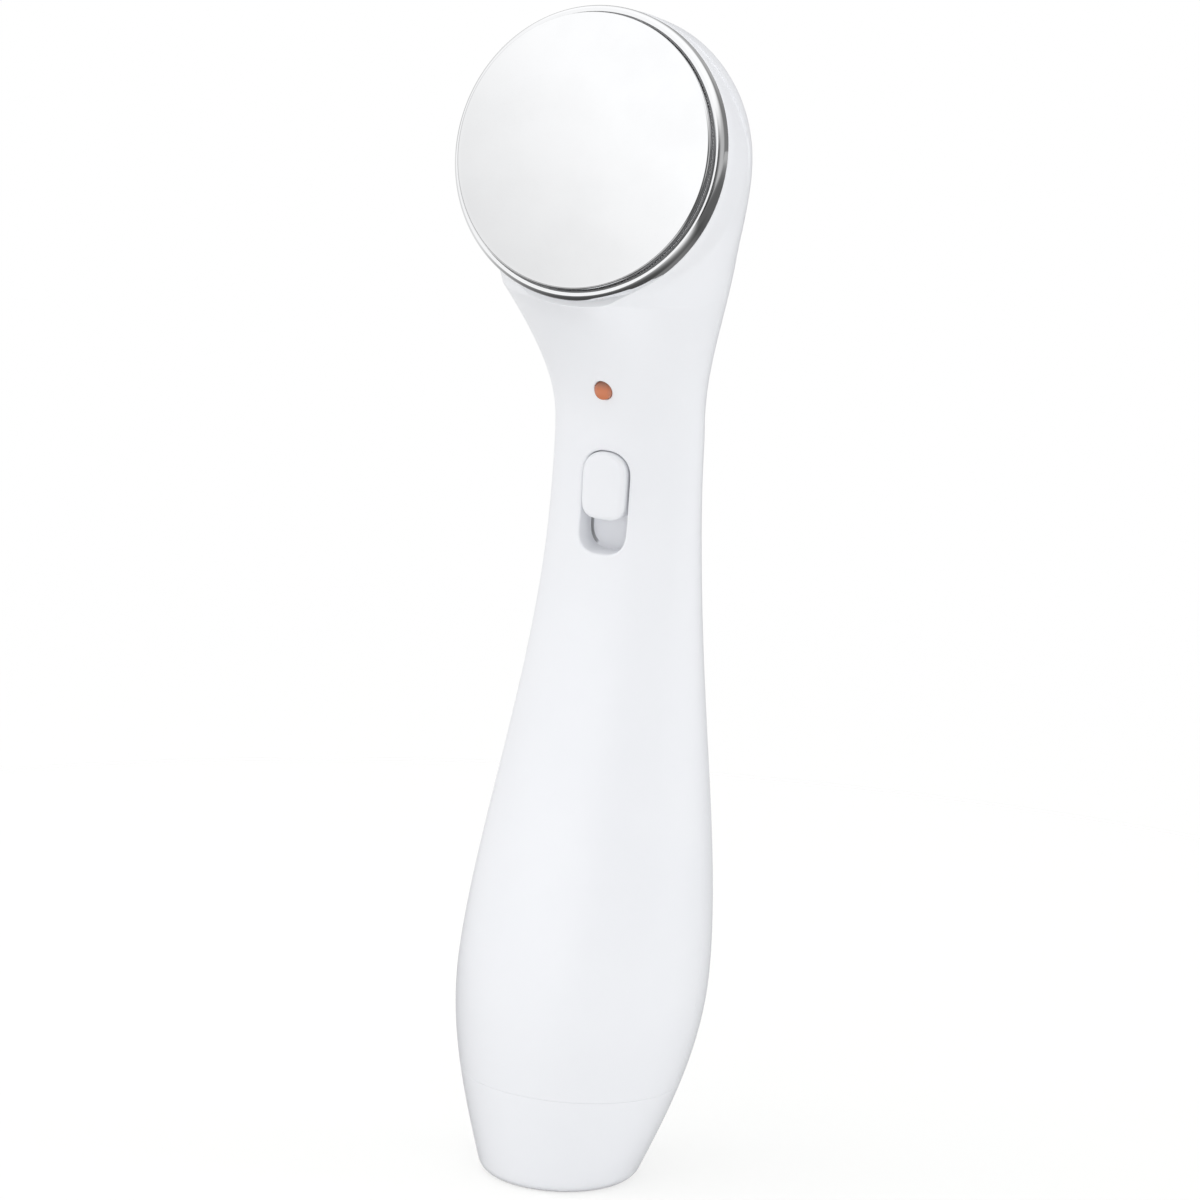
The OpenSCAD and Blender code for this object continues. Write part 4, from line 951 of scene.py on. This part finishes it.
def makeFloor():
    # A flat square just under the wand. The camera sees thin white paper that takes a soft shadow
    # near the wand and lets the white room, and a cap pulled down through it, show through. Metal
    # sees a painted reflection on it, greyer close to the wand, with painted shade in front and behind to
    # the right.
    s = studio["floorSize"]
    mesh = bpy.data.meshes.new("studioFloor")
    mesh.from_pydata([(-s, -s, -0.00002), (s, -s, -0.00002), (s, s, -0.00002), (-s, s, -0.00002)],
                     [], [(0, 1, 2, 3)])
    kit = Kit("paperFloor")
    camera = kit.node("ShaderNodeLightPath", output="Is Camera Ray")
    glossy = kit.node("ShaderNodeLightPath", output="Is Glossy Ray")
    here = kit.place()
    x, y = kit.axis(here, "X"), kit.axis(here, "Y")
    away = (x * x + y * y) ** 0.5
    far = away.between(*studio["shadowReach"])
    fibre = kit.noise(here, 900, 3)
    share = studio["shadowShare"]
    paper = kit.node("ShaderNodeBsdfDiffuse", None, {
        "Color": kit.mix(fibre, (share, share, share * 0.98), (share, share * 0.995, share * 0.97))})
    through = 1.012 - share
    thin = kit.node("ShaderNodeBsdfTransparent", None, {"Color": (through, through, through)})
    near = kit.node("ShaderNodeAddShader", None, {0: paper, 1: thin})
    clear = kit.node("ShaderNodeBsdfTransparent", None, {"Color": (1, 1, 1)})
    seen = kit.node("ShaderNodeMixShader", None, {0: far, 1: near, 2: clear})
    # Painted reflection: the floor's emission for glossy rays, greyer near the wand, with painted shade
    # in front and behind to the right
    paintedReflection = away.between(*studio["mirrorReach"]) * studio["mirrorRise"] + studio["mirrorNear"]
    reflectionShade = (x * 0.8 + y * 0.5).between(*studio["reflectionShadeReach"])
    reflectionShade = reflectionShade * (away.between(*studio["reflectionShadeFade"]) * 0.42 + 0.43)
    paintedReflection = paintedReflection * (1 - reflectionShade)
    paintedReflection = paintedReflection * (1 - (0 - y).between(*studio["frontReach"]) * studio["frontShade"])
    mirrored = kit.node("ShaderNodeEmission", None, {"Color": (1, 1, 1), "Strength": paintedReflection})
    b = studio["bounce"]
    plain = kit.node("ShaderNodeBsdfDiffuse", None, {"Color": (b, b, b * 0.99)})
    mixed = kit.node("ShaderNodeMixShader", None, {0: glossy, 1: plain, 2: mirrored})
    mixed = kit.node("ShaderNodeMixShader", None, {0: camera, 1: mixed, 2: seen})
    kit.node("ShaderNodeOutputMaterial", None, {"Surface": mixed})
    mesh.materials.append(kit.owner)
    floor = bpy.data.objects.new("studioFloor", mesh)
    scene.collection.objects.link(floor)


def makeSoftbox(name, place, aim, size, power, colour):
    data = bpy.data.lights.new(name, "AREA")
    data.shape, data.size, data.size_y = "RECTANGLE", size[0], size[1]
    data.energy, data.color = power, colour
    light = bpy.data.objects.new(name, data)
    scene.collection.objects.link(light)
    light.location = place
    light.rotation_mode = "QUATERNION"
    light.rotation_quaternion = (Vector(aim) - Vector(place)).to_track_quat("-Z", "Y")
    light.visible_glossy = False


def makeWorld():
    # White where the camera looks. Metal sees a painted reflection: a pale room that is brightest high
    # up, greyer low on the left and at the back, with painted shade on its right up to shoulder height.
    kit = Kit("paleRoom", world=True)
    camera = kit.node("ShaderNodeLightPath", output="Is Camera Ray")
    glossy = kit.node("ShaderNodeLightPath", output="Is Glossy Ray")
    here = kit.node("ShaderNodeTexCoord", output="Generated")
    x, y, z = (kit.axis(here, letter) for letter in "XYZ")
    # Painted reflection for glossy rays only: a graded brightness, with painted shade on the right and at
    # the back
    slope = x * 0.41 + z * 0.69 + 0.97
    slope = kit.node("ShaderNodeMath", {"operation": "MINIMUM"}, {0: slope, 1: 1.07})
    dark = x.between(-0.05, 0.3) * z.between(0.75, 0.35) * (1 - y.between(-0.5, 0.0) * 0.4)
    paintedRoom = slope * (1 - y.between(0.5, 0.95) * 0.6) * (1 - dark * 0.9)
    light = kit.node("ShaderNodeBackground", None,
                     {"Color": (0.985, 0.99, 1.0), "Strength": studio["roomLight"]})
    mirror = kit.node("ShaderNodeBackground", None, {"Color": (1, 1, 1), "Strength": paintedRoom})
    plain = kit.node("ShaderNodeBackground", None, {"Color": (1, 1, 1), "Strength": 1.0})
    mixed = kit.node("ShaderNodeMixShader", None, {0: glossy, 1: light, 2: mirror})
    mixed = kit.node("ShaderNodeMixShader", None, {0: camera, 1: mixed, 2: plain})
    kit.node("ShaderNodeOutputWorld", None, {"Surface": mixed})
    scene.world = kit.owner


makeFloor()
makeWorld()
makeSoftbox("ceilingPanel", (-0.18, -0.2, 1.15), (0, 0, 0.08), (1.2, 1.2), studio["topPower"],
            (1.0, 1.0, 1.0))
makeSoftbox("windowKey", (-0.75, -0.45, 0.62), (0, 0, 0.08), (0.7, 0.7), studio["keyPower"],
            (1.0, 0.995, 0.985))
makeSoftbox("frontFill", (-0.1, -0.95, 0.5), (0, 0, 0.06), (0.6, 0.6), studio["fillPower"],
            (0.97, 0.985, 1.0))
makeSoftbox("lowFill", (0.45, -0.6, 0.06), (0, 0, 0.04), (0.5, 0.1), studio["lowPower"],
            (0.97, 0.985, 1.0))
makeSoftbox("sideFill", (0.8, 0.45, 0.4), (0, 0, 0.1), (0.5, 0.6), studio["sidePower"],
            (0.98, 0.99, 1.0))
scene.view_settings.view_transform = "Standard"
print("floor and light set")
